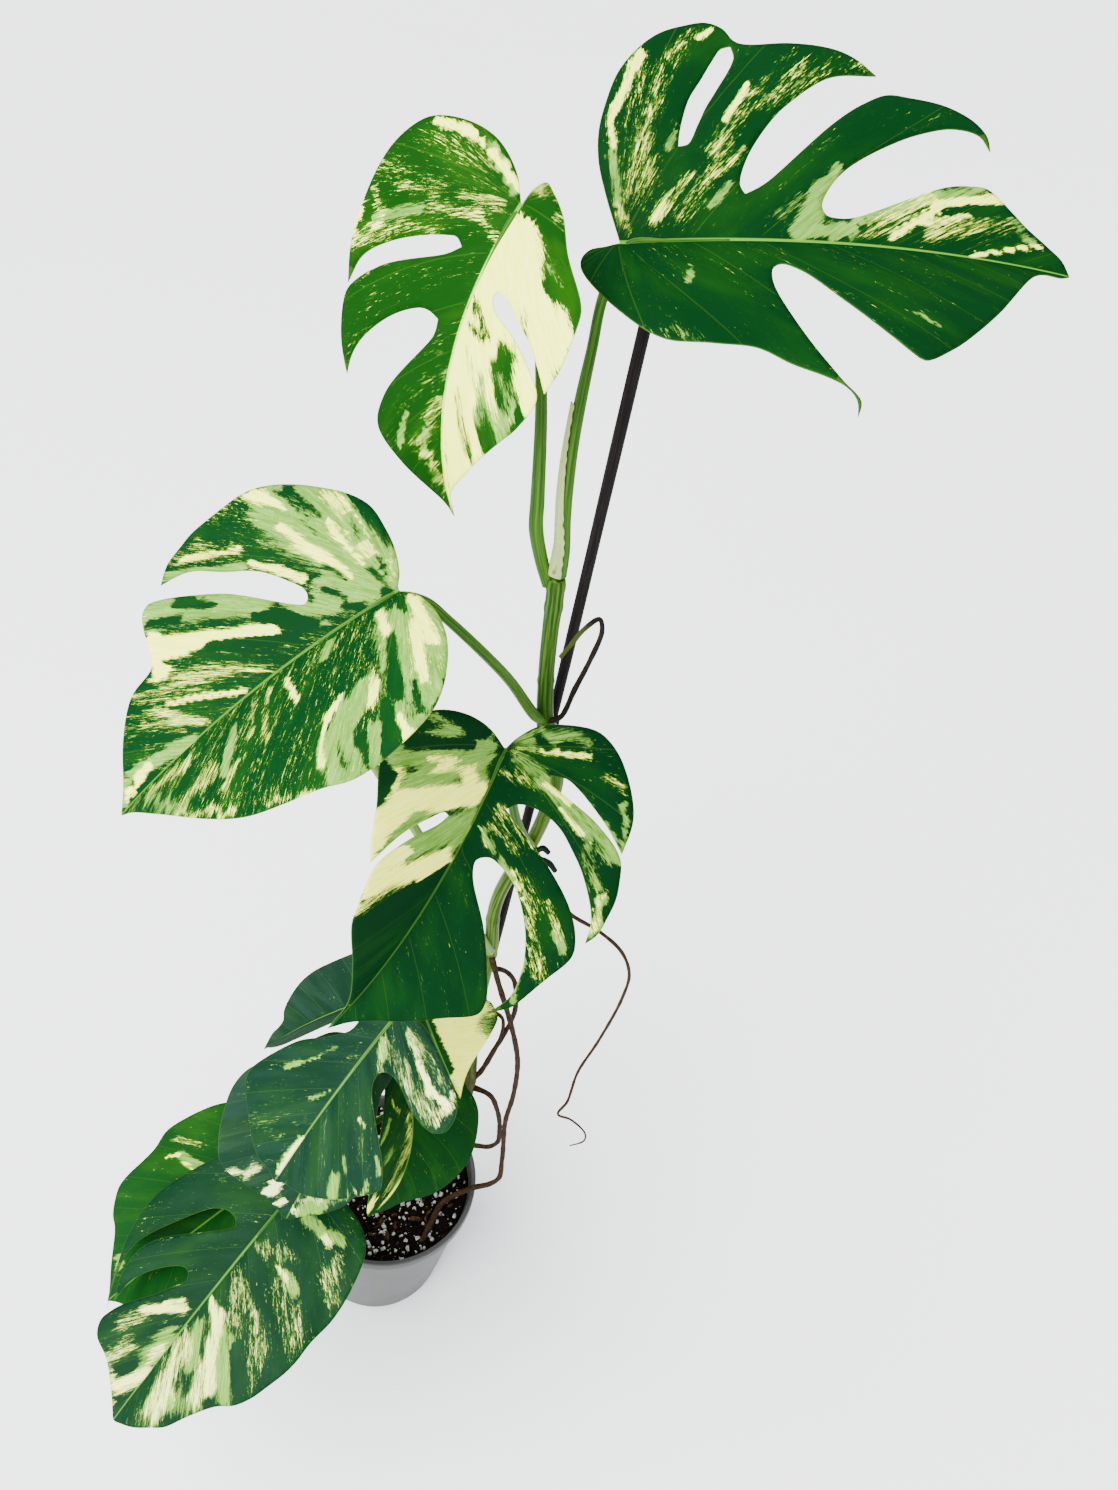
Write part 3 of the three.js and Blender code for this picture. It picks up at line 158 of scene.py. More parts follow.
# Leaves from the top down. base is where the petiole meets the blade; heading, pitch and roll turn
# the midrib in degrees, and droop bends it over its length. On each half, lift is the angle at the
# midrib, curl the further bend over 100 mm, and an edge runs from the base to the tip as
# (distance along the midrib, distance from it). cream, pale and green are strokes of colour, each
# (level, u, v, u, v, radius) with u along the midrib and v to its right. Poses, outlines and
# strokes come from points read off the photo, which separate programs fitted to the blades.
LEAVES = [
    dict(
        name="leaf_01", base=(51, -5, 1021), heading=10, pitch=12, roll=21,
        droop=18, length=211,
        left=dict(lift=20, curl=6, edge=[
            (-5, 24), (-7, 40), (-6, 54), (-2, 68), (4, 82), (13, 94), (23, 103), (33, 108),
            (44, 111), (51, 108), (57, 100), (80, 98), (103, 96), (111, 93), (119, 87), (97, 81),
            (79, 68), (70, 59), (58, 40), (54, 26), (56, 22), (60, 24), (66, 28), (98, 59),
            (111, 70), (124, 78), (135, 78), (147, 76), (157, 72), (165, 67), (170, 61), (171, 54),
            (166, 61), (153, 63), (141, 60), (128, 54), (101, 35), (92, 23), (90, 17), (92, 13),
            (97, 12), (105, 13), (149, 33), (160, 35), (169, 35), (181, 26), (188, 20), (200, 12),
            (207, 7),
        ], hole=[
            (28, 45), (29, 52), (34, 69), (40, 80), (46, 91), (50, 97), (54, 98), (55, 92),
            (46, 74), (41, 65), (37, 56), (32, 46),
        ]),
        right=dict(lift=17, curl=17, edge=[
            (-7, 3), (-12, 4), (-16, 9), (-18, 17), (-17, 26), (-10, 44), (3, 66), (9, 73),
            (15, 77), (32, 79), (48, 80), (60, 88), (72, 95), (79, 101), (82, 108), (81, 117),
            (83.5, 109), (78, 97), (67, 68), (61, 43), (61, 32), (63, 25), (67, 22), (74, 27),
            (88, 50), (102, 73), (109, 83), (113, 86), (128, 76), (142, 63), (157, 47), (189, 8),
            (196, 4), (204, 4),
        ]),
        petiole=[
            (51.3, 11, 838, 4), (51, 12, 852, 3.9), (48, 11, 877, 3.8), (46, 10, 912, 3.3),
            (46, 8, 938, 3), (47, 5, 968, 2.5), (48, 2, 996, 2.3),
        ],
        lean=((0.55, 2.4), (0.4, 1.6)), tint=(0.0014, 0.02, 0.0035), rib=0.6, sheen_and_whiteness=0, flecks=0.02,
        cream=[
            (1.1, 14, -91, 0, -60, 1.5), (1, 0, -60, 0, -45, 1.2), (0.36, 17, -83, 9, -25, 7),
            (0.5, 0, -18, 4, -7, 2), (0.9, 16, -9, 21, -17, 1), (0.42, 14, -9, 30, -30, 3),
            (1, 46, -107, 39, -100, 1.2), (0.36, 38, -105, 26, -88, 4),
            (1.1, 60, -78, 50, -60, 1.2), (0.42, 62, -73, 44, -43, 4), (0.38, 84, -84, 66, -64, 6),
            (0.36, 110, -90, 76, -73, 4.5), (0.5, 58, -44, 38, -26, 2.5),
            (0.36, 29, -11, 49, -43, 3.5), (0.45, 12, -59, 15, -29, 2.5),
            (1.1, 120, -4, 145, -22, 1.3), (1.2, 145, -24, 175, -31, 2),
            (0.8, 136, -12, 158, -21, 1.5), (0.5, 111, -9, 141, -27, 4),
            (0.45, 139, -9, 177, -18, 4), (1.2, 160, -1, 196, -12, 0.8),
        ],
        pale=[
            (1, 27, 25, 26, 40, 1.3), (0.9, 116, 56, 124, 63, 1), (0.32, 3, 68, 25, 79, 3.5),
            (1.1, -1, -44, 0, -18, 1.5), (0.9, 41, -17, 50, -27, 1.6), (1, 28, -56, 23, -43, 1.2),
            (1.3, 92, -25, 82, -8, 4.7), (1.3, 79, -5, 102, -6, 2.8), (1.1, 99, -37, 93, -27, 2),
            (1.1, 105, -11, 126, -20, 1.7), (0.5, 70, -11, 80, -22, 3),
            (0.9, 129, -23, 168, -36, 2), (0.7, 181, -22, 191, -14, 2.5),
        ],
        green=[(0.7, 150, -22, 180, -26, 1.6)],
    ),
    dict(
        name="leaf_02", base=(8, -20, 1032), heading=-147, pitch=-58, roll=-2,
        droop=54, length=156,
        left=dict(lift=6, curl=17, edge=[
            (-8, 1), (-13, 6), (-12, 15), (-7, 33), (2, 50), (12, 73), (16, 77), (36, 79),
            (49, 76), (43, 67), (38, 57), (35, 47), (31, 26), (32, 20), (35, 18), (38, 22),
            (41, 45), (46, 62), (53, 73), (68, 69), (80, 60), (112, 31), (141, 4), (148, 2),
        ]),
        right=dict(lift=26, curl=9, edge=[
            (-8, 10), (-13, 27), (-11, 45), (-4, 62), (1, 67), (12, 72), (33, 75), (54, 77),
            (68, 73), (56, 68), (43, 52), (28, 25), (26, 19), (28, 15), (34, 21), (53, 53),
            (65, 68), (72, 73), (88, 71), (104, 65), (95, 62), (85, 56), (69, 40), (59, 24),
            (58, 18), (59, 13), (66, 13), (103, 38), (120, 45), (126, 43), (136, 30), (149, 4),
        ]),
        petiole=[
            (47, 10, 831, 3), (41, 10.5, 845, 3.4), (35, 8, 866, 3.7), (33.5, 5, 884, 3.6),
            (28, -1, 939, 2.8), (19, -5, 991, 2.3), (13, -10, 1018, 2.2),
        ],
        lean=((0.3, 1.2), (0.5, 1.3)), tint=(0.003, 0.03, 0.0022), rib=0.65, sheen_and_whiteness=0, flecks=0.1,
        cream=[
            (1.2, -3, 60, -9, 37, 1.5), (1.2, -9, 37, -5, 4, 1.4), (0.34, -1, 55, -2, 22, 4.5),
            (0.42, 15, 39, 24, 75, 4), (0.5, 12, 27, 5, 9, 2.2), (0.5, 31, 71, 36, 60, 2.3),
            (0.9, 38, 75, 50, 77, 1.5), (0.6, 42, 65, 37, 49, 1.5), (0.45, 53, 77, 42, 57, 4),
            (0.45, 37, 50, 30, 28, 3.5), (0.5, 13, 14, 19, 1, 2.5), (0.45, 23, 40, 13, 15, 2.2),
            (0.42, 90, 2, 112, 10, 4), (0.5, 120, 15, 135, 3, 5), (1.5, 21, -14, 122, -18, 24),
            (1.5, 30, -65, 51, -65, 11), (1.3, 15, -22, 28, -63, 6), (1, 18, -21, 15, -42, 2.5),
            (0.8, 15, -4, 17, -16, 2.3), (0.5, -4, -24, 6, -47, 3.5), (0.45, -4, -4, 4, -31, 5),
            (0.7, 6, -49, 11, -64, 1.5),
        ],
        pale=[
            (1.2, -11, 30, -3, 6, 2), (1.1, 39, 64, 26, 43, 1.4), (1.1, 107, 23, 126, 30, 1.5),
            (1, 108, 10, 123, 12, 1.4), (0.4, 73, 7, 80, 2, 2.6), (1, 9, -43, 13, -61, 1.4),
            (1.1, 55, -46, 63, -64, 4.3), (1.1, 60, -16, 68, -36, 5.6), (1.1, 77, -28, 73, -57, 7),
            (0.9, 24, -6, 30, -14, 2.4),
        ],
        green=[
            (0.7, -12, 38, -13, 18, 1.7), (1.3, -1, -3, -4, -20, 4), (1.1, 0, -25, 2, -45, 2.5),
            (1.1, 43, -5, 48, -27, 3), (1.1, 51, -7, 52, -26, 2), (0.95, 81, -15, 96, -33, 5),
            (0.95, 75, -38, 83, -52, 4.3), (1.1, 58, -62, 65, -70, 1.8),
            (0.85, 53, -42, 60, -60, 5.4), (0.8, 61, -14, 67, -34, 5), (1, 127, -8, 132, -6, 1.5),
            (0.9, 108, -7, 123, -7, 2), (1, 13, -70, 16, -50, 1.5), (0.45, -5, -15, 6, -50, 6.5),
            (0.4, 6, -48, 14, -74, 5.5),
        ],
    ),
    dict(
        name="leaf_03", base=(-24, -50, 848), heading=-141, pitch=-25, roll=0,
        droop=23, length=183,
        left=dict(lift=16, curl=19, edge=[
            (-5, 12), (-7, 30), (-5, 49), (-1, 62), (5, 74), (12, 84), (22, 92), (40, 96),
            (59, 98), (69, 97), (80, 92), (98, 85), (117, 74), (135, 57), (160, 26), (176, 6),
        ]),
        right=dict(lift=20, curl=4, edge=[
            (-5, 8), (-10, 21), (-12, 34), (-12, 52), (-6, 65), (3, 75), (13, 84), (24, 92),
            (34, 97), (45, 99), (68, 98), (78, 94), (88, 89), (96, 81), (81, 78), (67, 66),
            (53, 54), (43, 38), (39, 29), (40, 24), (43, 22), (48, 26), (71, 53), (82, 62),
            (100, 74), (107, 77), (112, 75), (116, 68), (120, 55), (124, 48), (139, 45), (146, 41),
            (159, 28), (173, 10),
        ]),
        petiole=[
            (58, 5, 739, 3.4), (54, 1, 744, 3.4), (37, -9, 773, 3.2), (22, -20, 796, 3.1),
            (-1, -32, 824, 2.9), (-12, -38, 836, 2.8),
        ],
        lean=((0.45, 1.6), (0.7, 1.5)), tint=(0.0015, 0.022, 0.0042), rib=0.35, sheen_and_whiteness=0, flecks=0.2,
        cream=[
            (1, 31, 66, 18, 23, 2.7), (0.9, 11, 57, 8, 23, 1.4), (0.9, -4, 63, -4, 29, 1.7),
            (1, 35, 95, 23, 76, 2.8), (0.8, 30, 54, 20, 35, 2.7), (0.6, -1, 63, 0, 14, 7.5),
            (0.4, 71, 92, 57, 71, 4), (0.36, 66, 104, 40, 96, 4), (1, 36, 33, 53, 60, 1.8),
            (0.75, 81, 87, 54, 71, 1.7), (1.3, 65, 21, 112, 53, 3.2), (1.3, 117, 60, 122, 43, 4),
            (1.2, 94, 39, 115, 49, 3.3), (0.4, 122, 37, 80, 8, 5), (0.9, 92, 3, 129, 27, 1.3),
            (0.5, 137, 31, 120, 6, 2.7), (0.36, 138, 39, 110, 20, 5), (0.4, 146, 28, 130, 10, 3.3),
            (1, 155, 8, 174, 4, 2.2), (1.2, -2, -15, 3, -53, 2.8), (1.1, 5, -36, 17, -74, 2.3),
            (1, 37, -86, 35, -99, 2.5), (0.9, 14, -10, 22, -51, 2), (1.1, 55, -52, 63, -57, 2),
            (0.9, 65, -58, 76, -82, 1.2), (0.9, 35, -56, 43, -67, 1.7),
            (0.9, 70, -12, 72, -35, 1.2), (0.5, 81, -10, 93, -44, 2), (0.45, 90, -10, 99, -37, 2),
            (0.5, 107, -42, 123, -51, 3), (0.42, 122, -34, 144, -35, 5),
            (0.5, 132, -13, 161, -6, 4.4), (0.5, 81, -91, 105, -79, 2),
            (0.5, 147, -40, 122, -66, 2.4), (0.34, 33, -19, 37, -53, 3.7),
        ],
        pale=[
            (1.4, 2, 15, 11, 72, 14), (1.4, 11, 39, 24, 73, 13), (1.2, 26, 25, 9, 6, 5),
            (1.1, 59, 62, 92, 84, 2.2), (1.3, 59, 39, 110, 71, 6), (1.3, 37, 16, 25, 11, 5),
            (1, 48, 29, 41, 10, 3.2), (0.9, 133, 18, 124, 10, 1.4), (1.2, 129, 1, 163, 11, 2.7),
            (1.1, 171, 10, 178, 3, 2.2), (1.4, 5, -31, 12, -79, 14), (1.3, 31, -75, 28, -96, 7),
            (0.9, 21, -33, 28, -52, 1.8), (1.4, 43, -57, 65, -71, 5), (1.4, 65, -74, 70, -94, 6),
            (1.2, 45, -78, 59, -100, 3), (1.2, 43, -7, 49, -16, 2), (1, 105, -19, 118, -42, 2),
            (0.6, 162, -12, 147, -40, 4),
        ],
        green=[
            (0.9, 20, 83, 14, 62, 3.3), (0.9, 20, 68, 19, 52, 2), (1.1, 0, 52, 3, 36, 1.6),
            (1.3, -1, 22, 1, 12, 1.4), (1.2, 6, 20, 5, 2, 2), (0.8, -11, 62, -7, 26, 4),
            (0.9, 24, 34, 19, 20, 1.3), (1.3, 96, 67, 82, 54, 2.2), (1.1, 111, 68, 97, 58, 2.2),
            (1.3, 63, 30, 46, 11, 2.4), (1.3, 93, 36, 58, 10, 1.8), (1.2, 29, 10, 22, 5, 1.8),
            (1, 30, 21, 24, 12, 1.6), (0.5, 152, 1, 170, 2, 1.1), (1.1, 22, -73, 27, -88, 1.8),
            (1, 3, -10, 5, -24, 1.6), (1, 9, -81, 21, -93, 1.2), (0.7, 29, -70, 31, -87, 2.6),
            (1.3, 18, -36, 31, -75, 2.5), (1.3, 36, -71, 48, -96, 2.3), (0.9, 65, -76, 67, -88, 2),
            (0.6, 56, -81, 58, -97, 1.5),
        ],
    ),
    dict(
        name="leaf_04", base=(43, -50, 758), heading=-107, pitch=-53, roll=-52,
        droop=32, length=219,
        left=dict(lift=20, curl=8, edge=[
            (-8, 4), (-18, 13), (-23, 24), (-27, 44), (-26, 53), (-20, 65), (-12, 74), (5, 87),
            (15, 92), (34, 96), (22, 78), (7, 50), (4, 41), (5, 31), (9, 33), (13, 44), (22, 71),
            (37, 97), (51, 105), (61, 108), (72, 108), (84, 107), (91, 103), (76, 98), (54, 80),
            (41, 64), (31, 49), (26, 33), (27, 20), (32, 15), (38, 25), (51, 49), (72, 79),
            (90, 95), (103, 101), (123, 97), (143, 91), (149, 88), (157, 77), (142, 83), (124, 79),
            (104, 68), (85, 54), (72, 41), (64, 27), (62, 19), (66, 13), (76, 16), (104, 39),
            (132, 59), (150, 70), (161, 71), (173, 54), (187, 36), (198, 17), (207, 7),
        ]),
        right=dict(lift=21, curl=11, edge=[
            (-9, 21), (-13, 42), (-12, 62), (-8, 74), (-2, 82), (5, 88), (13, 91), (21, 91),
            (44, 79), (58, 73), (74, 65), (55, 52), (45, 38), (41, 29), (43, 24), (48, 28),
            (58, 44), (68, 55), (76, 60), (88, 60), (102, 57), (112, 54), (147, 30), (182, 8),
            (196, 3), (208, 2),
        ]),
        petiole=[
            (69, 6, 627, 3.2), (66, 0, 636, 3.2), (58, -13, 662, 3.1), (52, -24, 691, 3),
            (48, -33, 720, 2.9), (45, -40, 745, 2.8),
        ],
        tint=(0.0012, 0.018, 0.004), rib=0.14, sheen_and_whiteness=0, flecks=0.02,
        cream=[
            (1.4, 29, 9, 37, 66, 5.5), (1.4, 40, 65, 58, 72, 7.5), (0.9, 18, 22, 29, 7, 5),
            (0.8, 10, 40, 13, 59, 2.6), (0.7, 23, 79, 33, 77, 3.5), (0.7, 16, 53, 16, 28, 3.3),
            (1.4, 68, 47, 78, 68, 4.6), (1.4, 73, 10, 87, 53, 7.5), (1.4, 87, 34, 103, 51, 7.5),
            (1.3, 97, 58, 107, 55, 3.5), (1.3, 45, 73, 66, 69, 4.3), (1.3, 72, 68, 91, 53, 4.7),
            (0.9, -7, -22, -12, -50, 1.4), (0.45, -1, -4, -8, -22, 2.3),
            (0.42, -4, -64, -1, -77, 2.4), (0.42, 12, -4, 12, -28, 3), (1, 11, -30, 16, -50, 1.3),
            (0.9, 21, -45, 30, -65, 1.2), (0.5, 38, -73, 56, -95, 4.4),
            (0.6, 58, -97, 82, -103, 2.6), (0.8, 47, -6, 56, -14, 1.1),
            (0.4, 42, -11, 52, -31, 3.6), (0.42, 34, -15, 46, -48, 4),
            (0.9, 65, -36, 78, -50, 1.1), (0.42, 65, -41, 85, -63, 4.4),
            (0.45, 74, -64, 92, -84, 2.6), (0.42, 107, -75, 126, -98, 5),
            (0.36, 77, -55, 107, -74, 4),
        ],
        pale=[
            (1.4, 13, 51, 33, 54, 15), (1.4, 5, 31, 13, 80, 5.6), (1.4, 4, 22, 27, 16, 8.6),
            (0.9, -7, 70, -11, 49, 1.8), (0.6, -6, 62, -6, 29, 3.2), (0.9, 2, 16, 9, 19, 3),
            (1.4, 46, 2, 62, 51, 8), (1.2, 58, 7, 42, 3, 6), (1, 65, 7, 74, 7, 2.4),
            (0.8, -10, -5, -15, -25, 4.6), (0.65, -19, -27, -20, -45, 3), (0.8, 3, -10, 6, -28, 3),
            (0.8, 5, -80, 31, -95, 2), (0.95, 11, -30, 25, -75, 4.2), (0.9, 18, -59, 37, -93, 6),
            (0.8, 38, -76, 52, -90, 5), (1, 62, -100, 84, -103, 3), (0.9, 49, -9, 57, -19, 1.8),
            (1, 60, -25, 72, -41, 1.8), (1, 90, -79, 99, -92, 2), (1, 116, -74, 145, -86, 1.7),
        ],
        green=[
            (0.7, 24, 84, 37, 82, 2.3), (1.4, 8, 80, 2, 32, 3), (1.2, -11, 61, -5, 23, 2),
            (1.6, 118, 52, 80, 5, 3.8), (1.6, 135, 4, 112, 33, 20), (0.9, -12, -16, -10, -21, 1.7),
            (0.6, 38, -76, 51, -94, 3.8), (0.8, 49, -101, 61, -105, 2.6),
        ],
    ),
    dict(
        name="leaf_05", base=(3, -72, 517), heading=-128, pitch=-43, roll=-5,
        droop=16, length=154,
        left=dict(lift=12, curl=17, edge=[
            (-7, 5), (-9, 20), (-4, 45), (8, 74), (16, 80), (28, 81), (35, 75), (37, 67), (36, 54),
            (30, 34), (31, 23), (36, 18), (41, 18), (47, 21), (56, 32), (66, 47), (75, 60),
            (81, 66), (88, 70), (102, 62), (123, 45), (140, 24), (148, 7),
        ]),
        right=dict(lift=-4, curl=4, edge=[
            (-7, 4), (-12, 14), (-8, 24), (6, 24), (20, 20), (31, 20), (46, 30), (65, 47),
            (77, 54), (100, 64), (110, 67), (118, 67), (126, 62), (132, 56), (142, 43), (150, 31),
            (153, 22), (152, 9),
        ]),
        petiole=[
            (52, 6, 493, 3.2), (44, -2, 508, 3.1), (33, -22, 536, 2.9), (20, -46, 549, 2.7),
            (10, -60, 537, 2.6),
        ],
        tint=(0.0017, 0.016, 0.007), rib=0.4, sheen_and_whiteness=0.6, flecks=0.05,
        cream=[
            (0.9, 114, 1, 146, 1, 2), (0.45, 24, -6, 35, -18, 3), (0.42, 18, -10, 26, -34, 5),
            (0.5, 16, -27, 21, -40, 2), (1.1, 10, -38, 16, -56, 1.8), (1.1, 17, -55, 15, -68, 2.4),
            (0.6, 2, -16, 8, -38, 2), (0.7, 10, -71, 26, -74, 2.7), (0.45, 23, -62, 31, -74, 3.4),
            (0.38, 25, -36, 26, -63, 6), (0.4, 3, -21, 7, -61, 5), (0.6, 68, -28, 69, -35, 1.5),
            (0.4, 105, -54, 101, -65, 3),
        ],
        pale=[
            (1.1, 87, 43, 78, 38, 1.7), (0.9, 78, 37, 63, 28, 1), (0.6, 60, 28, 46, 19, 1.3),
            (0.6, 48, 11, 41, 4, 1.2), (1, 90, 14, 72, 4, 1), (0.7, 131, 17, 121, 14, 1),
            (0.34, 140, 44, 128, 28, 6.5), (1.1, 115, 1, 144, 1, 2.8), (0.9, 20, -5, 27, -15, 2.2),
            (0.5, 35, -24, 50, -28, 3.6), (1.3, 109, -38, 119, -44, 3.6),
            (1, 91, -59, 97, -63, 1.4), (0.8, 93, -35, 98, -41, 1.6), (1, 74, -54, 82, -64, 1.1),
            (0.5, 76, -38, 89, -48, 2.2),
        ],
    ),
    dict(
        name="leaf_06", base=(-13, -60, 433), heading=-116, pitch=-50, roll=-20,
        droop=16, length=152,
        left=dict(lift=5, curl=10, edge=[
            (-6, 5), (-8, 13), (0, 18), (19, 18), (40, 24), (62, 31), (86, 37), (108, 36),
            (127, 25), (143, 9),
        ]),
        right=dict(lift=6, curl=8, edge=[
            (-8, 10), (-11, 22), (-7, 36), (5, 47), (20, 56), (34, 66), (48, 78), (68, 83),
            (90, 80), (112, 74), (129, 67), (135, 59), (138, 48), (142, 21), (149, 6),
        ]),
        petiole=[
            (52, 6, 378, 3.2), (43, 0, 398, 3.1), (24, -12, 436, 2.9), (4, -34, 457, 2.7),
            (-8, -50, 448, 2.6),
        ],
        tint=(0.003, 0.018, 0.009), rib=0.3, sheen_and_whiteness=0.8, flecks=0,
        cream=[
            (0.6, 129, 49, 136, 56, 3.5), (0.6, 117, 39, 132, 43, 3.5),
            (1.1, 123, 19, 135, 21, 3.5), (0.9, 136, 8, 142, 11, 2.6), (0.9, 141, -1, 141, -5, 2),
            (0.5, 130, -2, 120, -16, 3.5),
        ],
        pale=[
            (1.2, 123, -15, 140, -9, 5), (1.2, 120, -20, 132, -16, 3.4),
            (0.7, 113, -26, 106, -31, 3.3),
        ],
    ),
    dict(
        name="leaf_07", base=(-58, -88, 276), heading=-118, pitch=-17, roll=6,
        droop=10, length=205,
        left=dict(lift=6, curl=12, edge=[
            (-7, 6), (-13, 20), (-13, 40), (-6, 67), (2, 79), (11, 85), (34, 91), (57, 93),
            (76, 91), (92, 91), (103, 89), (117, 84), (130, 79), (141, 72), (150, 61), (166, 49),
            (183, 38), (190, 29), (198, 18), (203, 7),
        ]),
        right=dict(lift=8, curl=16, edge=[
            (-8, 8), (-12, 24), (-8, 44), (5, 60), (25, 72), (55, 88), (69, 93), (83, 94),
            (98, 92), (112, 88), (128, 81), (144, 72), (156, 62), (143, 71), (125, 78), (112, 78),
            (99, 73), (64, 52), (54, 43), (49, 32), (50, 23), (54, 19), (61, 25), (92, 59),
            (104, 68), (114, 72), (126, 72), (138, 69), (151, 60), (136, 61), (122, 55), (102, 36),
            (99, 29), (101, 24), (105, 22), (110, 25), (128, 37), (145, 51), (156, 57), (165, 59),
            (174, 53), (180, 35), (187, 23), (196, 11), (202, 4),
        ]),
        petiole=[
            (55, 6, 288, 3.4), (46, -3, 306, 3.2), (16, -30, 333, 3), (-20, -60, 326, 2.8),
            (-45, -78, 301, 2.7),
        ],
        tint=(0.0016, 0.0185, 0.006), rib=0.4, sheen_and_whiteness=0.4, flecks=0.05,
        cream=[
            (0.85, 118, 7, 139, 34, 3), (0.7, 126, 24, 116, 14, 1.8), (0.5, 158, 43, 144, 34, 4.5),
            (0.8, 167, 1, 188, 12, 5), (0.7, 159, 7, 148, 3, 3.6), (0.5, 163, 26, 181, 36, 6),
            (0.5, 183, 27, 200, 8, 3.5), (0.55, 185, 11, 174, 5, 5),
            (0.85, 103, -7, 114, -23, 2.8), (0.85, 124, -29, 145, -50, 4.4),
            (0.75, 105, -19, 122, -31, 3.8), (0.6, 139, -36, 156, -45, 6),
            (0.55, 135, -9, 168, -18, 8), (0.6, 166, -23, 182, -22, 9), (0.7, 54, -31, 56, -45, 2),
            (0.42, 52, -10, 44, -33, 5.5), (0.46, 79, -16, 89, -34, 4.6),
            (0.42, 91, -44, 107, -66, 6.6), (0.36, 64, -47, 83, -84, 9),
            (0.7, 17, -45, 17, -57, 2.3), (0.42, 35, -65, 46, -81, 5), (0.36, 23, -69, 44, -84, 6),
            (0.36, 110, -55, 126, -75, 4.3), (0.4, 77, -10, 103, -34, 6),
        ],
        pale=[
            (0.95, 141, 6, 158, 8, 6.6), (0.8, 167, 9, 158, 11, 4.4), (1, 117, -30, 141, -61, 6.5),
            (0.8, 119, -8, 142, -26, 4.5), (0.6, 173, -22, 162, -45, 7),
            (0.8, 111, -33, 113, -42, 2.2), (1, 54, -39, 59, -58, 2.6), (0.5, 43, -29, 50, -31, 3),
            (0.9, 13, -38, 11, -61, 3), (1, 14, -23, 16, -38, 4),
        ],
        green=[(0.5, 180, 19, 170, 12, 1.5), (0.4, 116, -47, 131, -69, 3)],
    ),
    dict(
        name="leaf_08", base=(-76, -55, 246), heading=-132, pitch=-8, roll=-4,
        droop=19, length=173,
        left=dict(lift=15, curl=15, edge=[
            (-8, 8), (-14, 22), (-12, 40), (0, 60), (21, 74), (45, 82), (71, 80), (96, 73),
            (121, 60), (142, 38), (158, 19), (168, 5),
        ]),
        right=dict(lift=16, curl=14, edge=[
            (-8, 8), (-14, 22), (-12, 42), (0, 60), (21, 74), (42, 81), (63, 84), (71, 83),
            (84, 76), (96, 73), (111, 71), (121, 68), (130, 60), (136, 52), (140, 42), (156, 21),
            (168, 5),
        ]),
        petiole=[
            (48, 6, 196, 3.4), (36, -2, 212, 3.2), (-4, -20, 246, 3), (-44, -38, 262, 2.8),
            (-66, -49, 257, 2.6),
        ],
        tint=(0.003, 0.032, 0.0045), rib=0.4, sheen_and_whiteness=0, flecks=0,
        cream=[(0.9, 80, 64, 71, 60, 1.3), (0.8, 70, 50, 67, 42, 1.6), (0.4, 67, 72, 55, 57, 2.4)],
        pale=[(1.2, 70, 58, 64, 42, 3.2), (1.1, 147, 21, 155, 15, 2.3)],
    ),
    dict(
        name="leaf_09", base=(6, -35, 393), heading=-49, pitch=-30, roll=-34,
        droop=82, length=142,
        left=dict(lift=24, curl=6, edge=[
            (-7, 5), (-11, 18), (-6, 34), (10, 46), (31, 54), (38, 60), (48, 65), (56, 66),
            (72, 65), (87, 62), (107, 51), (114, 41), (121, 18), (132, 10),
        ]),
        right=dict(lift=9, curl=13, edge=[
            (-7, 5), (-9, 14), (-4, 24), (8, 32), (24, 42), (46, 52), (66, 55), (80, 54), (93, 49),
            (108, 36), (122, 18), (134, 5),
        ]),
        petiole=[
            (52, 6, 340, 3.2), (44, 2, 352, 3.1), (30, -8, 378, 2.9), (16, -20, 398, 2.7),
            (9, -29, 401, 2.6),
        ],
        tint=(0.0022, 0.026, 0.004), rib=0.4, sheen_and_whiteness=0, flecks=0.02,
        cream=[
            (0.5, 19, 27, 28, 21, 2), (0.45, 35, 7, 67, 1, 5.5), (0.8, 99, 1, 107, 12, 7),
            (0.6, 110, 1, 131, 1, 5), (1, 87, 47, 98, 44, 4), (0.4, 61, 10, 86, 22, 9),
        ],
        pale=[(0.7, 30, 35, 40, 45, 2.5), (0.6, 57, 41, 53, 32, 3.2), (0.8, 89, 3, 104, 1, 7)],
    ),
    dict(
        name="leaf_10", base=(13, -48, 508), heading=20, pitch=-75, roll=55,
        droop=-12, length=132,
        left=dict(lift=6, curl=13, edge=[
            (-6, 5), (-8, 14), (0, 28), (22, 38), (44, 45), (59, 50), (67, 54), (80, 55), (88, 54),
            (92, 50), (100, 37), (107, 22), (113, 14), (121, 7),
        ]),
        right=dict(lift=7, curl=15, edge=[
            (-6, 5), (-8, 12), (0, 22), (18, 28), (40, 32), (66, 31), (90, 25), (112, 13),
            (124, 5),
        ]),
        petiole=[
            (52, 5, 466, 3), (44, 0, 478, 2.9), (32, -12, 500, 2.7), (22, -28, 514, 2.5),
            (16, -40, 515, 2.4),
        ],
        tint=(0.0022, 0.026, 0.004), rib=0.4, sheen_and_whiteness=0, flecks=0, ragged=0.25,
        cream=[(1.6, 45, -8, 119, -10, 29), (1.6, 111, -2, 132, -5, 7.5)],
        pale=[(0.9, 65, -32, 97, -43, 10)],
        green=[(0.6, 79, -38, 97, -49, 7), (1.6, 27, -1, 99, -2, 3.8), (0.9, 108, -1, 133, -1, 2)],
    ),
    dict(
        name="leaf_11", base=(-16, -20, 461), heading=-179, pitch=-40, roll=13,
        droop=15, length=137,
        left=dict(lift=23, curl=12, edge=[
            (-6, 5), (-8, 14), (0, 30), (12, 40), (32, 46), (52, 50), (62, 52), (75, 48),
            (100, 30), (122, 12),
        ]),
        right=dict(lift=21, curl=10, edge=[
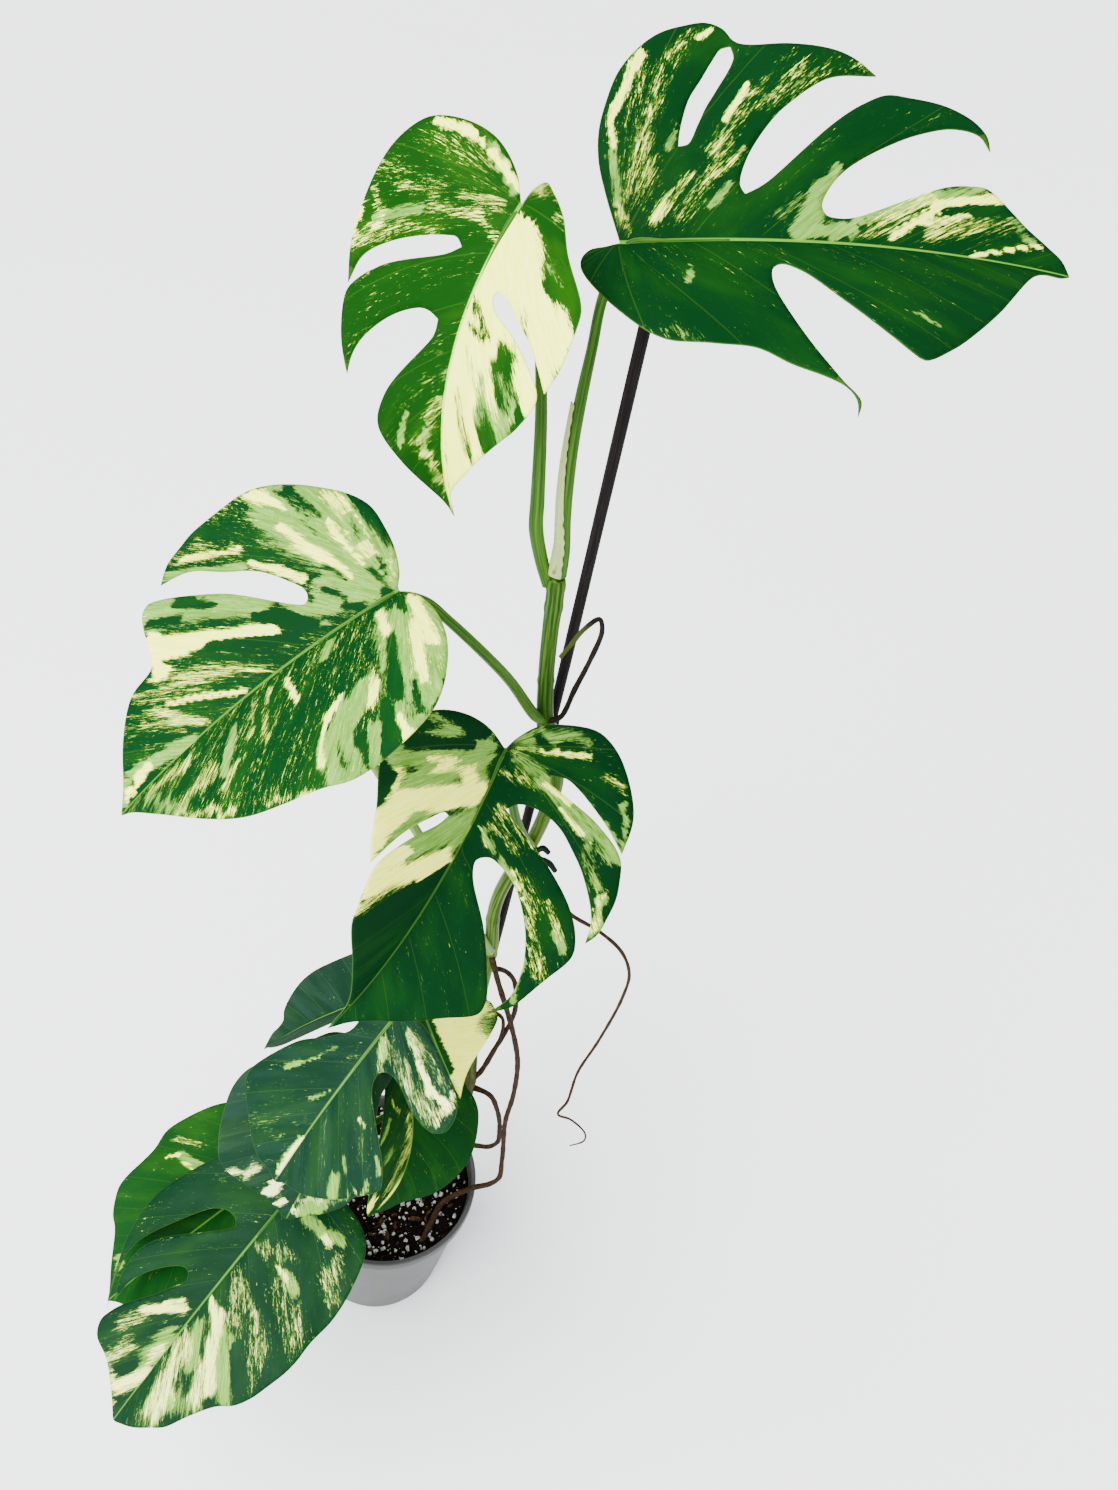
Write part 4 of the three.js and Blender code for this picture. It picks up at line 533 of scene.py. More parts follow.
            (-7, 6), (-10, 18), (-4, 34), (18, 46), (47, 53), (79, 54), (93, 52), (105, 47),
            (114, 38), (118, 28), (116, 17), (121, 13), (128, 11),
        ]),
        petiole=[
            (50, 7, 444, 3), (40, 6, 456, 2.9), (18, 0, 480, 2.7), (-4, -10, 484, 2.5),
            (-12, -16, 473, 2.4),
        ],
        tint=(0.002, 0.016, 0.007), rib=0.4, sheen_and_whiteness=0.8, flecks=0,
    ),
]


# View and light
def add_camera():
    pitch = math.radians(VIEW_PITCH)
    roll = math.radians(VIEW_ROLL)
    ahead = Vector((0, math.cos(pitch), -math.sin(pitch)))
    level = Vector((1, 0, 0))
    lifted = level.cross(ahead)
    right = math.cos(roll) * level + math.sin(roll) * lifted
    up = math.cos(roll) * lifted - math.sin(roll) * level
    lens = bpy.data.cameras.new("photo_view")
    lens.sensor_width = SENSOR
    lens.lens = SENSOR * FOCAL_PIXELS / LONG_SIDE
    camera = bpy.data.objects.new("photo_view", lens)
    turn = Matrix((right, up, -ahead)).transposed().to_4x4()
    camera.matrix_world = Matrix.Translation(VIEW_PLACE) @ turn
    bpy.context.scene.collection.objects.link(camera)
    bpy.context.scene.camera = camera


def add_light(name, kind, place, size, power, colour):
    """A sun of an angular size in degrees, or a square lamp of a size in metres."""
    lamp = bpy.data.lights.new(name, kind)
    if kind == "SUN":
        lamp.angle = math.radians(size)
    else:
        lamp.shape = "SQUARE"
        lamp.size = size
    lamp.energy = power
    lamp.color = colour
    light = bpy.data.objects.new(name, lamp)
    light.location = place
    aim = Vector(LIGHT_TARGET) - Vector(place)
    light.rotation_euler = aim.to_track_quat("-Z", "Y").to_euler()
    bpy.context.scene.collection.objects.link(light)


def add_lights():
    add_light("window", "SUN", (-1.5, -0.9, 3), size=55, power=7.6, colour=(1, 0.99, 0.97))
    add_light("front_light", "AREA", (-1.9, -3.0, 1.7), size=3, power=300, colour=(0.97, 0.99, 1))
    world = bpy.data.worlds.new("studio")
    world.use_nodes = True
    sky = world.node_tree.nodes["Background"]
    sky.inputs["Color"].default_value = (0.95, 0.97, 1, 1)
    sky.inputs["Strength"].default_value = 1.7
    bpy.context.scene.world = world


# Shader maths
class Value:
    """An output socket of a shader tree that can be used in sums."""

    def __init__(self, look, socket):
        self.look = look
        self.socket = socket

    def math(self, operation, *others):
        sockets = dict(enumerate((self, *others)))
        return self.look.node("ShaderNodeMath", {"operation": operation}, sockets).value()

    def __add__(self, other):
        return self.math("ADD", other)

    def __sub__(self, other):
        return self.math("SUBTRACT", other)

    def __mul__(self, other):
        return self.math("MULTIPLY", other)

    def __radd__(self, other):
        return self.math("ADD", other)

    def __rmul__(self, other):
        return self.math("MULTIPLY", other)

    def __rsub__(self, other):
        sockets = {0: other, 1: self}
        return self.look.node("ShaderNodeMath", {"operation": "SUBTRACT"}, sockets).value()

    def __abs__(self):
        return self.math("ABSOLUTE")


class Node:
    """A shader node whose outputs are handed out as values."""

    def __init__(self, look, node):
        self.look = look
        self.node = node

    def value(self, name=0):
        return Value(self.look, self.node.outputs[name])


class Look:
    """A procedural material and the methods that add its nodes."""

    def __init__(self, name, **constants):
        self.material = bpy.data.materials.new(name)
        self.material.use_nodes = True
        self.tree = self.material.node_tree
        self.shader = self.tree.nodes["Principled BSDF"]
        for socket, value in constants.items():
            self.shader.inputs[socket.replace("_", " ")].default_value = value

    def node(self, kind, settings=None, sockets=None):
        made = self.tree.nodes.new(kind)
        for name, value in (settings or {}).items():
            setattr(made, name, value)
        for name, value in (sockets or {}).items():
            self.feed(made.inputs[name], value)
        return Node(self, made)

    def feed(self, socket, value):
        if isinstance(value, Value):
            self.tree.links.new(value.socket, socket)
        elif isinstance(value, tuple) and len(value) == 3 and socket.type == "RGBA":
            socket.default_value = (*value, 1)
        else:
            socket.default_value = value

    def attribute(self, name):
        return self.node("ShaderNodeAttribute", {"attribute_name": name})

    def split(self, vector):
        parts = self.node("ShaderNodeSeparateXYZ", None, {0: vector})
        return [parts.value(i) for i in range(3)]

    def place(self):
        return self.node("ShaderNodeTexCoord").value("Object")

    def scaled(self, vector, factors):
        sockets = {0: vector, 1: factors}
        return self.node("ShaderNodeVectorMath", {"operation": "MULTIPLY"}, sockets).value()

    def noise(self, vector, scale, detail, roughness):
        sockets = {"Vector": vector, "Scale": scale, "Detail": detail, "Roughness": roughness}
        return self.node("ShaderNodeTexNoise", None, sockets).value("Fac")

    def mix(self, factor, below, above):
        settings = {"data_type": "RGBA", "clamp_factor": True}
        return self.node("ShaderNodeMix", settings, {0: factor, 6: below, 7: above}).value(2)

    def step(self, value, low, high):
        """0 below low, 1 above high, smooth between."""
        settings = {"interpolation_type": "SMOOTHSTEP"}
        return self.node("ShaderNodeMapRange", settings, {0: value, 1: low, 2: high}).value()

    def set(self, **sockets):
        for name, value in sockets.items():
            self.feed(self.shader.inputs[name.replace("_", " ")], value)

    def bump(self, height, depth, strength=1.0):
        sockets = {"Height": height, "Distance": depth, "Strength": strength}
        normal = self.node("ShaderNodeBump", None, sockets).value()
        self.feed(self.shader.inputs["Normal"], normal)


# Curves and meshes
def catmull(p0, p1, p2, p3, t):
    """Centripetal curve from p1 to p2."""
    gaps = [max(np.linalg.norm(b - a) ** 0.5, 1e-4) for a, b in ((p0, p1), (p1, p2), (p2, p3))]
    d0, d1, d2 = gaps
    start = ((p1 - p0) / d0 - (p2 - p0) / (d0 + d1) + (p2 - p1) / d1) * d1
    end = ((p2 - p1) / d1 - (p3 - p1) / (d1 + d2) + (p3 - p2) / d2) * d1
    t = np.asarray(t)[:, None]
    square, cube = 3 * (p2 - p1) - 2 * start - end, 2 * (p1 - p2) + start + end
    return p1 + start * t + square * t**2 + cube * t**3


def smooth_path(stations, step):
    """Points and radii along a smooth path through (x, y, z, radius) stations."""
    data = np.array(stations, float)
    points = data[:, :3]
    ends = [2 * points[0] - points[1], *points, 2 * points[-1] - points[-2]]
    rows = []
    for i in range(len(points) - 1):
        count = max(1, round(np.linalg.norm(points[i + 1] - points[i]) / step))
        t = np.arange(count) / count
        span = catmull(ends[i], ends[i + 1], ends[i + 2], ends[i + 3], t)
        radii = data[i, 3] + (data[i + 1, 3] - data[i, 3]) * t
        rows.append(np.column_stack([span, radii]))
    rows.append(data[-1:, :4])
    return np.vstack(rows)


def smooth_loop(points, step):
    """Smooth runs between the corners of a closed outline."""
    points = np.array(points, float)
    count = len(points)

    def direction(i):
        way = points[(i + 1) % count] - points[i % count]
        return way / np.linalg.norm(way)

    def is_corner(i):
        return direction(i - 1) @ direction(i) < math.cos(math.radians(CORNER_ANGLE))

    rows = []
    for i in range(count):
        start, end = points[i], points[(i + 1) % count]
        before = 2 * start - end if is_corner(i) else points[i - 1]
        after = 2 * end - start if is_corner(i + 1) else points[(i + 2) % count]
        pieces = max(1, round(np.linalg.norm(end - start) / step))
        rows.append(catmull(before, start, end, after, np.arange(pieces) / pieces))
    return np.vstack(rows)


def make_mesh(name, points, faces, looks, vectors=None, material_of=None):
    """A mesh object from points in millimetres, with its looks and vector attributes."""
    mesh = bpy.data.meshes.new(name)
    corners = [list(map(int, face)) for face in faces]
    mesh.from_pydata((np.asarray(points) * MM).tolist(), [], corners)
    for key, rows in (vectors or {}).items():
        layer = mesh.attributes.new(key, "FLOAT_VECTOR", "POINT")
        layer.data.foreach_set("vector", np.ascontiguousarray(rows, np.float32).ravel())
    for material in looks:
        mesh.materials.append(material)
    if material_of is not None:
        mesh.polygons.foreach_set("material_index", np.asarray(material_of, np.int32))
    mesh.polygons.foreach_set("use_smooth", np.ones(len(mesh.polygons), bool))
    mesh.update()
    piece = bpy.data.objects.new(name, mesh)
    bpy.context.scene.collection.objects.link(piece)
    return piece


def ring_faces(rings, sides, closed=False):
    """Four-sided faces between rings of points, each (corner, next, next above, above)."""
    faces = []
    for n in range(rings if closed else rings - 1):
        above = (n + 1) % rings * sides
        for k in range(sides):
            turned_on = (k + 1) % sides
            faces.append((n * sides + k, n * sides + turned_on, above + turned_on, above + k))
    return faces


def path_frames(stations, step, first_side):
    """Centres, radii, lengths, directions and two cross directions along a smooth path."""
    path = smooth_path(stations, step)
    centres, radii = path[:, :3], path[:, 3]
    along = np.concatenate([[0], np.cumsum(np.linalg.norm(np.diff(centres, axis=0), axis=1))])
    ways = np.gradient(centres, along, axis=0)
    ways /= np.linalg.norm(ways, axis=1)[:, None]
    side = np.array(first_side, float)
    sides = []
    for way in ways:
        side = side - way * (side @ way)
        side /= np.linalg.norm(side)
        sides.append(side)
    acrosses = [np.cross(way, side) for way, side in zip(ways, sides)]
    return centres, radii, along, ways, sides, acrosses


def tube(stations, step, sides, shape=None, caps=(1, 1)):
    """Points, faces and strand coordinates of a closed tube with domed ends."""
    centres, radii, along, ways, outs, acrosses = path_frames(stations, step, (1, 0, 0))
    angles = 2 * math.pi * np.arange(sides) / sides
    points, strand = [], []
    for centre, radius, reach, side, across in zip(centres, radii, along, outs, acrosses):
        size = shape(reach, along[-1], angles, radius) if shape else np.full(sides, radius)
        x, y = size * np.cos(angles), size * np.sin(angles)
        points.append(centre + np.outer(x, side) + np.outer(y, across))
        strand.append(np.column_stack([np.cos(angles), np.sin(angles), np.full(sides, reach)]))
    rings = len(points)
    faces = ring_faces(rings, sides)
    points = np.vstack(points)
    strand = np.vstack(strand)
    ends = ((0, -ways[0], caps[0], True), (rings - 1, ways[-1], caps[1], False))
    for ring, way, dome, flip in ends:
        top = len(points)
        points = np.vstack([points, centres[ring] + way * radii[ring] * 0.45 * dome])
        strand = np.vstack([strand, [0, 0, along[ring]]])
        for k in range(sides):
            a, b = ring * sides + k, ring * sides + (k + 1) % sides
            faces.append((b, a, top) if flip else (a, b, top))
    return points, faces, strand


def joined(parts):
    """Several (points, faces, strand) tubes as one."""
    points, faces, strand = [], [], []
    total = 0
    for part_points, part_faces, part_strand in parts:
        faces += [tuple(i + total for i in face) for face in part_faces]
        points.append(part_points)
        strand.append(part_strand)
        total += len(part_points)
    return np.vstack(points), faces, np.vstack(strand)


# Blades
def leaf_frame(leaf):
    heading, pitch, roll = (math.radians(leaf[key]) for key in ("heading", "pitch", "roll"))
    tangent = Vector((
        math.cos(heading) * math.cos(pitch), math.sin(heading) * math.cos(pitch), math.sin(pitch)))
    right = Vector((math.sin(heading), -math.cos(heading), 0))
    normal = right.cross(tangent)
    turn = Matrix.Rotation(roll, 3, tangent)
    return np.array(tangent), np.array(turn @ right), np.array(turn @ normal)


def sheet_point(leaf, u, v):
    """Middle surface of a blade at u along the midrib and v to its right."""
    tangent, right, normal = leaf_frame(leaf)
    bend = math.radians(leaf["droop"]) / leaf["length"]
    is_left = v < 0
    lift = np.radians(np.where(is_left, leaf["left"]["lift"], leaf["right"]["lift"]))
    curl = np.radians(np.where(is_left, leaf["left"]["curl"], leaf["right"]["curl"])) / CURL_REACH
    s = np.abs(v)
    out = (np.sin(lift) - np.sin(lift - curl * s)) / curl
    wave = BLADE_WAVE * np.minimum(1, s / 80) ** 2 * np.sin(u / 13 + np.where(is_left, 1, 0))
    up = (np.cos(lift - curl * s) - np.cos(lift)) / curl + wave
    ahead = np.sin(bend * u) / bend + up * np.sin(bend * u)
    rise = -(1 - np.cos(bend * u)) / bend + up * np.cos(bend * u)
    place = np.outer(ahead, tangent) + np.outer(rise, normal) + np.outer(np.sign(v) * out, right)
    return np.array(leaf["base"], float) + place


def sheet_normal(leaf, u, v):
    h = 0.5
    along = sheet_point(leaf, u + h, v) - sheet_point(leaf, u - h, v)
    across = sheet_point(leaf, u, v + h) - sheet_point(leaf, u, v - h)
    normal = np.cross(across, along)
    return normal / np.linalg.norm(normal, axis=1)[:, None]


def outline_loops(leaf):
    tip, base = [(leaf["length"], 0)], [(0, 0)]
    left = [(u, -v) for u, v in leaf["left"]["edge"]]
    right = leaf["right"]["edge"][::-1]
    loops = [smooth_loop(base + left + tip + right, EDGE_STEP)]
    if "hole" in leaf["left"]:
        loops.append(smooth_loop([(u, -v) for u, v in leaf["left"]["hole"]], EDGE_STEP))
    return loops


def is_inside(points, loops):
    inside = np.zeros(len(points), bool)
    for loop in loops:
        for a, b in zip(loop, np.roll(loop, -1, axis=0)):
            if a[1] == b[1]:
                continue
            spans = (a[1] > points[:, 1]) != (b[1] > points[:, 1])
            crossing = (b[0] - a[0]) * (points[:, 1] - a[1]) / (b[1] - a[1]) + a[0]
            inside ^= spans & (points[:, 0] < crossing)
    return inside


def segment_distance(points, a, b):
    way = b - a
    length = max(way @ way, 1e-9)
    t = np.clip((points - a) @ way / length, 0, 1)
    return np.linalg.norm(points - a - t[:, None] * way, axis=1)


def rim_distance(points, loops):
    nearest = np.full(len(points), 1e9)
    for loop in loops:
        for a, b in zip(loop, np.roll(loop, -1, axis=0)):
            nearest = np.minimum(nearest, segment_distance(points, a, b))
    return nearest


def blade_points(leaf, loops):
    """Rows of points inside a blade, close together beside the midrib."""
    length = leaf["length"]
    rows = []
    for v in MIDRIB_ROWS:
        u = np.arange(1.5, length - 1, MIDRIB_STEP)
        rows.append(np.column_stack([u, np.full(len(u), v)]))
    step = INNER_STEP
    for n in range(2, 60):
        u = np.arange(-60, length + 5, step) + (n % 2) * step / 2
        v = 0.87 * step * n
        for sign in (-1, 1):
            rows.append(np.column_stack([u, np.full(len(u), sign * v)]))
    points = np.vstack(rows)
    points = points[is_inside(points, loops)]
    return points[rim_distance(points, loops) > 0.5 * step]


def vein_place(leaf, uv):
    """A point's lateral vein, distance from the midrib, gap between veins and their lean."""
    u, v = uv[:, 0], uv[:, 1]
    out = np.abs(v)
    left, right = leaf.get("lean", VEIN_LEAN)
    first = np.where(v < 0, left[0], right[0])
    last = np.where(v < 0, left[1], right[1])
    ahead = u - first * out - VEIN_BEND * out**2
    spread = (leaf["length"] + (last - first) * out) / VEINS
    fan = (FAN_LEAN * out + 3) / FAN_VEINS
    gap = np.where(ahead > 0, spread, fan)
    way = first + (last - first) * np.clip(u / leaf["length"], 0, 1)
    return ahead / gap, out, gap, way


def marked(leaf, uv, kind):
    """How strongly a leaf's strokes of one kind colour each point; each keeps to its half."""
    amount = np.full(len(uv), leaf["flecks"] if kind == "cream" else 0.0)
    vein, out, _, way = vein_place(leaf, uv)
    slip = 2.6 * np.sin(11 * vein + 2 * np.sin(4 * vein + 0.06 * out))
    slip = slip + 1.4 * np.sin(25 * vein + 0.05 * out)
    slip *= leaf.get("ragged", 1) / np.hypot(way, 1)
    ragged = slip[:, None] * np.column_stack([way, np.sign(uv[:, 1])])
    for level, start_u, start_v, end_u, end_v, radius in leaf.get(kind, []):
        moved = uv + ragged * min(1, 0.15 + radius / 4)
        away = segment_distance(moved, np.array([start_u, start_v]), np.array([end_u, end_v]))
        strength = level * np.clip(1.4 - 0.75 * away / radius, 0, 1)
        amount = np.where(uv[:, 1] * start_v >= 0, np.maximum(amount, strength), amount)
    return amount


def blade_sheet(leaf, seed):
    """Points, faces and attributes of a blade: two faces closed by a thin rim."""
    loops = outline_loops(leaf)
    inner = blade_points(leaf, loops)
    points, edges = [], []
    for loop in loops:
        first = len(points)
        points += [Vector(p) for p in loop]
        edges += [(first + i, first + (i + 1) % len(loop)) for i in range(len(loop))]
    points += [Vector(p) for p in inner]
    flat, _, triangles, *_ = delaunay_2d_cdt(points, edges, [], 0, 1e-5)
    uv = np.array([tuple(p) for p in flat])
    triangles = np.array([t for t in triangles if len(t) == 3])
    middles = uv[triangles].mean(axis=1)
    triangles = triangles[is_inside(middles, loops)]
    corners = uv[triangles]
    turn = np.cross(corners[:, 1] - corners[:, 0], corners[:, 2] - corners[:, 0])
    triangles = np.where((turn < 0)[:, None], triangles[:, ::-1], triangles)
    used, triangles = np.unique(triangles, return_inverse=True)
    uv = uv[used]
    triangles = triangles.reshape(-1, 3)

    u, v = uv[:, 0], uv[:, 1]
    rim = rim_distance(uv, loops)
    vein, out, gap, _ = vein_place(leaf, uv)
    length = leaf["length"]
    fade = np.clip(1.1 - u / length, 0.15, 1)
    pleat = np.sin(math.pi * vein) ** 2 * np.clip((out - 4) / 25, 0, 1) * np.clip(rim / 12, 0, 1)
    groove = np.exp(-((v / 1.5) ** 2)) * fade * np.clip(rim / 3, 0, 1)
    lift = PLEAT_HEIGHT * pleat - GROOVE_DEPTH * groove
    thick = RIM_THICKNESS + (BLADE_THICKNESS - RIM_THICKNESS) * np.clip(rim / 6, 0, 1)
    rib = RIB_HEIGHT * np.exp(-((v / 1.6) ** 2)) * fade * np.clip(rim / 3, 0, 1)
    middle = sheet_point(leaf, u, v)
    normal = sheet_normal(leaf, u, v)
    top = middle + normal * (lift + thick / 2)[:, None]
    under = middle + normal * (lift - thick / 2 - rib)[:, None]

    count = len(uv)
    ring = np.concatenate([triangles[:, [0, 1]], triangles[:, [1, 2]], triangles[:, [2, 0]]])
    keys = {(a, b) for a, b in ring.tolist()}
    rim_edges = [(a, b) for a, b in keys if (b, a) not in keys]
    rim_edges.sort()
    faces = [(c, b, a) for a, b, c in triangles.tolist()]
    faces += [(a + count, b + count, c + count) for a, b, c in triangles.tolist()]
    faces += [(a, b, b + count, a + count) for a, b in rim_edges]

    vectors = {
        "veins": np.column_stack([vein, out, gap]),
        "flow": np.column_stack([vein * 22 + 400 * seed, out, np.where(v < 0, -50, 50)]),
        "paint": np.column_stack([
            marked(leaf, uv, "cream"), marked(leaf, uv, "pale"), marked(leaf, uv, "green")]),
        "tint": np.tile(leaf["tint"], (count, 1)),
    }
    vectors = {key: np.vstack([rows, rows]) for key, rows in vectors.items()}
    place = np.column_stack([v, rim, np.ones(count)])
    vectors["rim"] = np.vstack([place, place * (1, 1, 0)])
    # first value: each leaf's level of painted sheen, whiter cream and coat gloss
    vectors["reach"] = np.vstack([np.column_stack([
        np.full(count, leaf["sheen_and_whiteness"]), u / length, np.full(count, leaf["rib"])])] * 2)
    return np.vstack([top, under]), faces, vectors


def petiole_stations(leaf):
    """The petiole and on under the midrib as a rib."""
    rows = list(leaf["petiole"])
    last_radius = rows[-1][3]
    for u, share in RIB_STATIONS:
        radius = last_radius * share
        place = leaf, np.array([float(u)]), np.array([0.0])
        spot = sheet_point(*place) - 0.75 * radius * sheet_normal(*place)
        rows.append((*spot[0], radius))
    return rows


def petiole_shape(reach, length, angles, radius):
    """Grooved, with a slightly swollen knee under the blade."""
    knee = math.exp(-(((reach - length + KNEE_FROM_END) / KNEE_WIDTH) ** 2))
    foot = math.exp(-reach / 18)
    groove = 0.07 * np.cos(2 * angles) + 0.02 * np.cos(7 * angles + 0.02 * reach)
    return radius * (1 + groove + 0.07 * knee + 0.12 * foot)


def build_leaf(leaf, seed, blade_look, petiole_look):
    points, faces, vectors = blade_sheet(leaf, seed)
    stalk_points, stalk_faces, strand = tube(petiole_stations(leaf), 3, 20, petiole_shape)
    count = len(points)
    all_faces = faces + [tuple(i + count for i in face) for face in stalk_faces]
    rest = len(stalk_points)
    merged = {}
    for key, rows in vectors.items():
        filler = np.tile(leaf["tint"], (rest, 1)) if key == "tint" else np.zeros((rest, 3))
        merged[key] = np.vstack([rows, filler])
    merged["strand"] = np.vstack([np.zeros((count, 3)), strand])
    material_of = [0] * len(faces) + [1] * len(stalk_faces)
    name = leaf["name"] + "_blade_and_petiole"
    looks = [blade_look, petiole_look]
    all_points = np.vstack([points, stalk_points])
    piece = make_mesh(name, all_points, all_faces, looks, merged, material_of)
    settle(piece, leaf["name"])


# Finishes
def blade_look():
    look = Look("variegated_blade", Specular_IOR_Level=0, Coat_Roughness=0.38)
    vein, out, gap = look.split(look.attribute("veins").value("Vector"))
    side, rim, upper = look.split(look.attribute("rim").value("Vector"))
    sheen_and_whiteness, share, rib_light = look.split(look.attribute("reach").value("Vector"))
    cream_mark, pale_mark, green_mark = look.split(look.attribute("paint").value("Vector"))
    deep = look.attribute("tint").value("Vector")
    flow = look.attribute("flow").value("Vector")

    mottle = look.noise(look.scaled(flow, (0.14, 0.026, 1)), 1, 3, 0.55)
    band = look.noise(look.scaled(flow, (0.75, 0.06, 1)), 1, 5, 0.65)
    hair = look.noise(look.scaled(flow, (2.9, 0.17, 1.5)), 1, 5, 0.75)
    other_band = look.noise(look.scaled(flow, (0.55, 0.05, 1.3)), 1, 5, 0.65)
    other_hair = look.noise(look.scaled(flow, (2.1, 0.19, 1.9)), 1, 5, 0.75)

    thread = (look.noise(look.scaled(flow, (6, 0.32, 1.7)), 1, 4, 0.7) - 0.5) * 1.3

    streak = (hair - 0.5) * 2 + thread + (band - 0.5) * 1.2 + (mottle - 0.5) * 0.7
    creaminess = cream_mark - green_mark + streak
    cream = look.step(creaminess, 0.56, 0.64)
    fringe = look.step(creaminess, 0.42, 0.56)
    other_streak = (other_hair - 0.5) * 2 - thread + (other_band - 0.5) * 1.2
    other_streak = other_streak + (mottle - 0.5) * 0.8
    pale = look.step(pale_mark * 0.88 - green_mark + cream_mark * 0.5 + other_streak, 0.52, 0.6)

    soft = look.noise(look.scaled(flow, (0.05, 0.02, 1)), 1, 3, 0.5)
    bright = look.scaled(deep, (2.7, 1.65, 0.9))
    green = look.mix(look.step(soft + (other_hair - 0.5) * 0.3, 0.44, 0.74), deep, bright)
    # painted sheen: on the glossier leaves the green is greyed in broad patches that stand in for
    # reflected light
    painted_sheen_patches = look.noise(look.scaled(flow, (0.09, 0.02, 1.3)), 1, 3, 0.5)
    green = look.mix(sheen_and_whiteness * look.step(painted_sheen_patches, 0.42, 0.66) * 0.3, green, (0.016, 0.045, 0.028))
    paler = look.mix(look.step(other_band, 0.35, 0.65), (0.09, 0.22, 0.02), (0.19, 0.36, 0.06))
    paler = look.mix(look.step(other_hair, 0.42, 0.56) * 0.45, paler, (0.045, 0.13, 0.012))
    ivory = look.mix(look.step(band, 0.35, 0.65), (0.76, 0.84, 0.05), (0.88, 0.93, 0.16))
    colour = look.mix(fringe, green, (0.045, 0.17, 0.008))
    colour = look.mix(pale, colour, paler)
    ivory = look.mix(sheen_and_whiteness * 0.8, ivory, (0.62, 0.68, 0.4))
    colour = look.mix(cream, colour, ivory)

    nearest = abs((vein + 0.5).math("FRACT") - 0.5) * gap
    vein_line = (1 - look.step(nearest, 0.1, 0.5)) * look.step(out, 1, 4)
    colour = look.mix(vein_line * 0.07, colour, (0.1, 0.26, 0.02))
    rib_width = 1.15 - share * 0.75
    rib = 1 - look.step(abs(side) - rib_width, -0.2, 0.25)
    colour = look.mix(rib * rib_light, colour, (0.13, 0.34, 0.03))
    edge = 1 - look.step(rim, 0.1, 0.5)
    colour = look.mix(edge * 0.08, colour, (0.2, 0.4, 0.05))
    beneath = look.mix(0.4, colour, (0.09, 0.2, 0.05))
    colour = look.mix(upper, beneath, colour)

    grain = look.noise(look.scaled(flow, (0.9, 0.7, 1)), 1, 3, 0.6)
    look.bump(band * 0.25 + grain * 0.15 - vein_line * 0.3, 0.0006, 0.5)
    look.set(Base_Color=colour, Roughness=0.55, Coat_Weight=(0.02 + sheen_and_whiteness * 0.05) * upper)
    return look.material


def stalk_look(name, pale_green, dark_green):
    look = Look(name, Specular_IOR_Level=0.04, Roughness=0.38)
    strand = look.attribute("strand").value("Vector")
    streaks = look.noise(look.scaled(strand, (3.2, 3.2, 0.012)), 1, 4, 0.6)
    blotch = look.noise(look.scaled(strand, (0.8, 0.8, 0.03)), 1, 3, 0.6)
    colour = look.mix(look.step(streaks, 0.36, 0.66), dark_green, pale_green)
    colour = look.mix(look.step(blotch, 0.55, 0.75) * 0.35, colour, (0.12, 0.2, 0.03))
    fleck = look.noise(look.scaled(strand, (4, 4, 0.35)), 1, 3, 0.6)
    colour = look.mix(look.step(fleck, 0.7, 0.74) * 0.5, colour, (0.035, 0.018, 0.008))
    look.bump(streaks, 0.0005, 0.4)
    look.set(Base_Color=colour)
    return look.material


def stem_look():
    look = Look("climbing_stem", Specular_IOR_Level=0.04, Roughness=0.42)
    strand = look.attribute("strand").value("Vector")
    _, _, along = look.split(strand)
    streaks = look.noise(look.scaled(strand, (3, 3, 0.02)), 1, 4, 0.6)
    rough = look.noise(look.scaled(strand, (2, 2, 0.25)), 1, 5, 0.65)
    older = look.mix(look.step(streaks, 0.38, 0.62), (0.017, 0.042, 0.004), (0.07, 0.13, 0.014))
    young = look.mix(look.step(streaks, 0.4, 0.66), (0.009, 0.036, 0.003), (0.05, 0.12, 0.01))
    colour = look.mix(look.step(along, 600, 680), older, young)
    bark = look.mix(rough, (0.025, 0.014, 0.007), (0.06, 0.035, 0.018))
    aged = look.step(330 - along + (rough - 0.5) * 160, 0, 120)
    colour = look.mix(aged, colour, bark)
    look.bump(streaks * 0.5 + rough * 0.5, 0.0008, 0.5)
    look.set(Base_Color=colour, Roughness=0.4 + aged * 0.35)
    return look.material


def root_look(name, dark, light, young_from=None):
    """Bark, turning green from a length along the root where one is given."""
    look = Look(name, Specular_IOR_Level=0.05, Roughness=0.8)
    strand = look.attribute("strand").value("Vector")
    wrinkle = look.noise(look.scaled(strand, (1.5, 1.5, 0.5)), 1, 5, 0.65)
    fibre = look.noise(look.scaled(strand, (4, 4, 0.06)), 1, 3, 0.6)
    colour = look.mix(look.step(wrinkle, 0.35, 0.7), dark, light)
    colour = look.mix(look.step(fibre, 0.58, 0.72) * 0.4, colour, (0.08, 0.05, 0.026))
    if young_from:
        _, _, along = look.split(strand)
        young = look.step(along, young_from, young_from + 12) * 0.8
        colour = look.mix(young, colour, (0.035, 0.05, 0.008))
    look.bump(wrinkle * 0.7 + fibre * 0.3, 0.0012, 0.8)
    look.set(Base_Color=colour)
    return look.material


def stake_look():
    look = Look("charred_cane", Specular_IOR_Level=0.03, Roughness=0.6)
    strand = look.attribute("strand").value("Vector")
    grain = look.noise(look.scaled(strand, (7, 7, 0.03)), 1, 4, 0.7)
    pore = look.noise(look.scaled(strand, (10, 10, 0.5)), 1, 3, 0.6)
    colour = look.mix(look.step(grain, 0.35, 0.7), (0.003, 0.0025, 0.003), (0.016, 0.012, 0.012))
    colour = look.mix(look.step(pore, 0.68, 0.75) * 0.4, colour, (0.05, 0.04, 0.035))
    look.bump(grain * 0.8 + pore * 0.2, 0.0008, 0.7)
    look.set(Base_Color=colour, Roughness=0.5 + grain * 0.25)
    return look.material


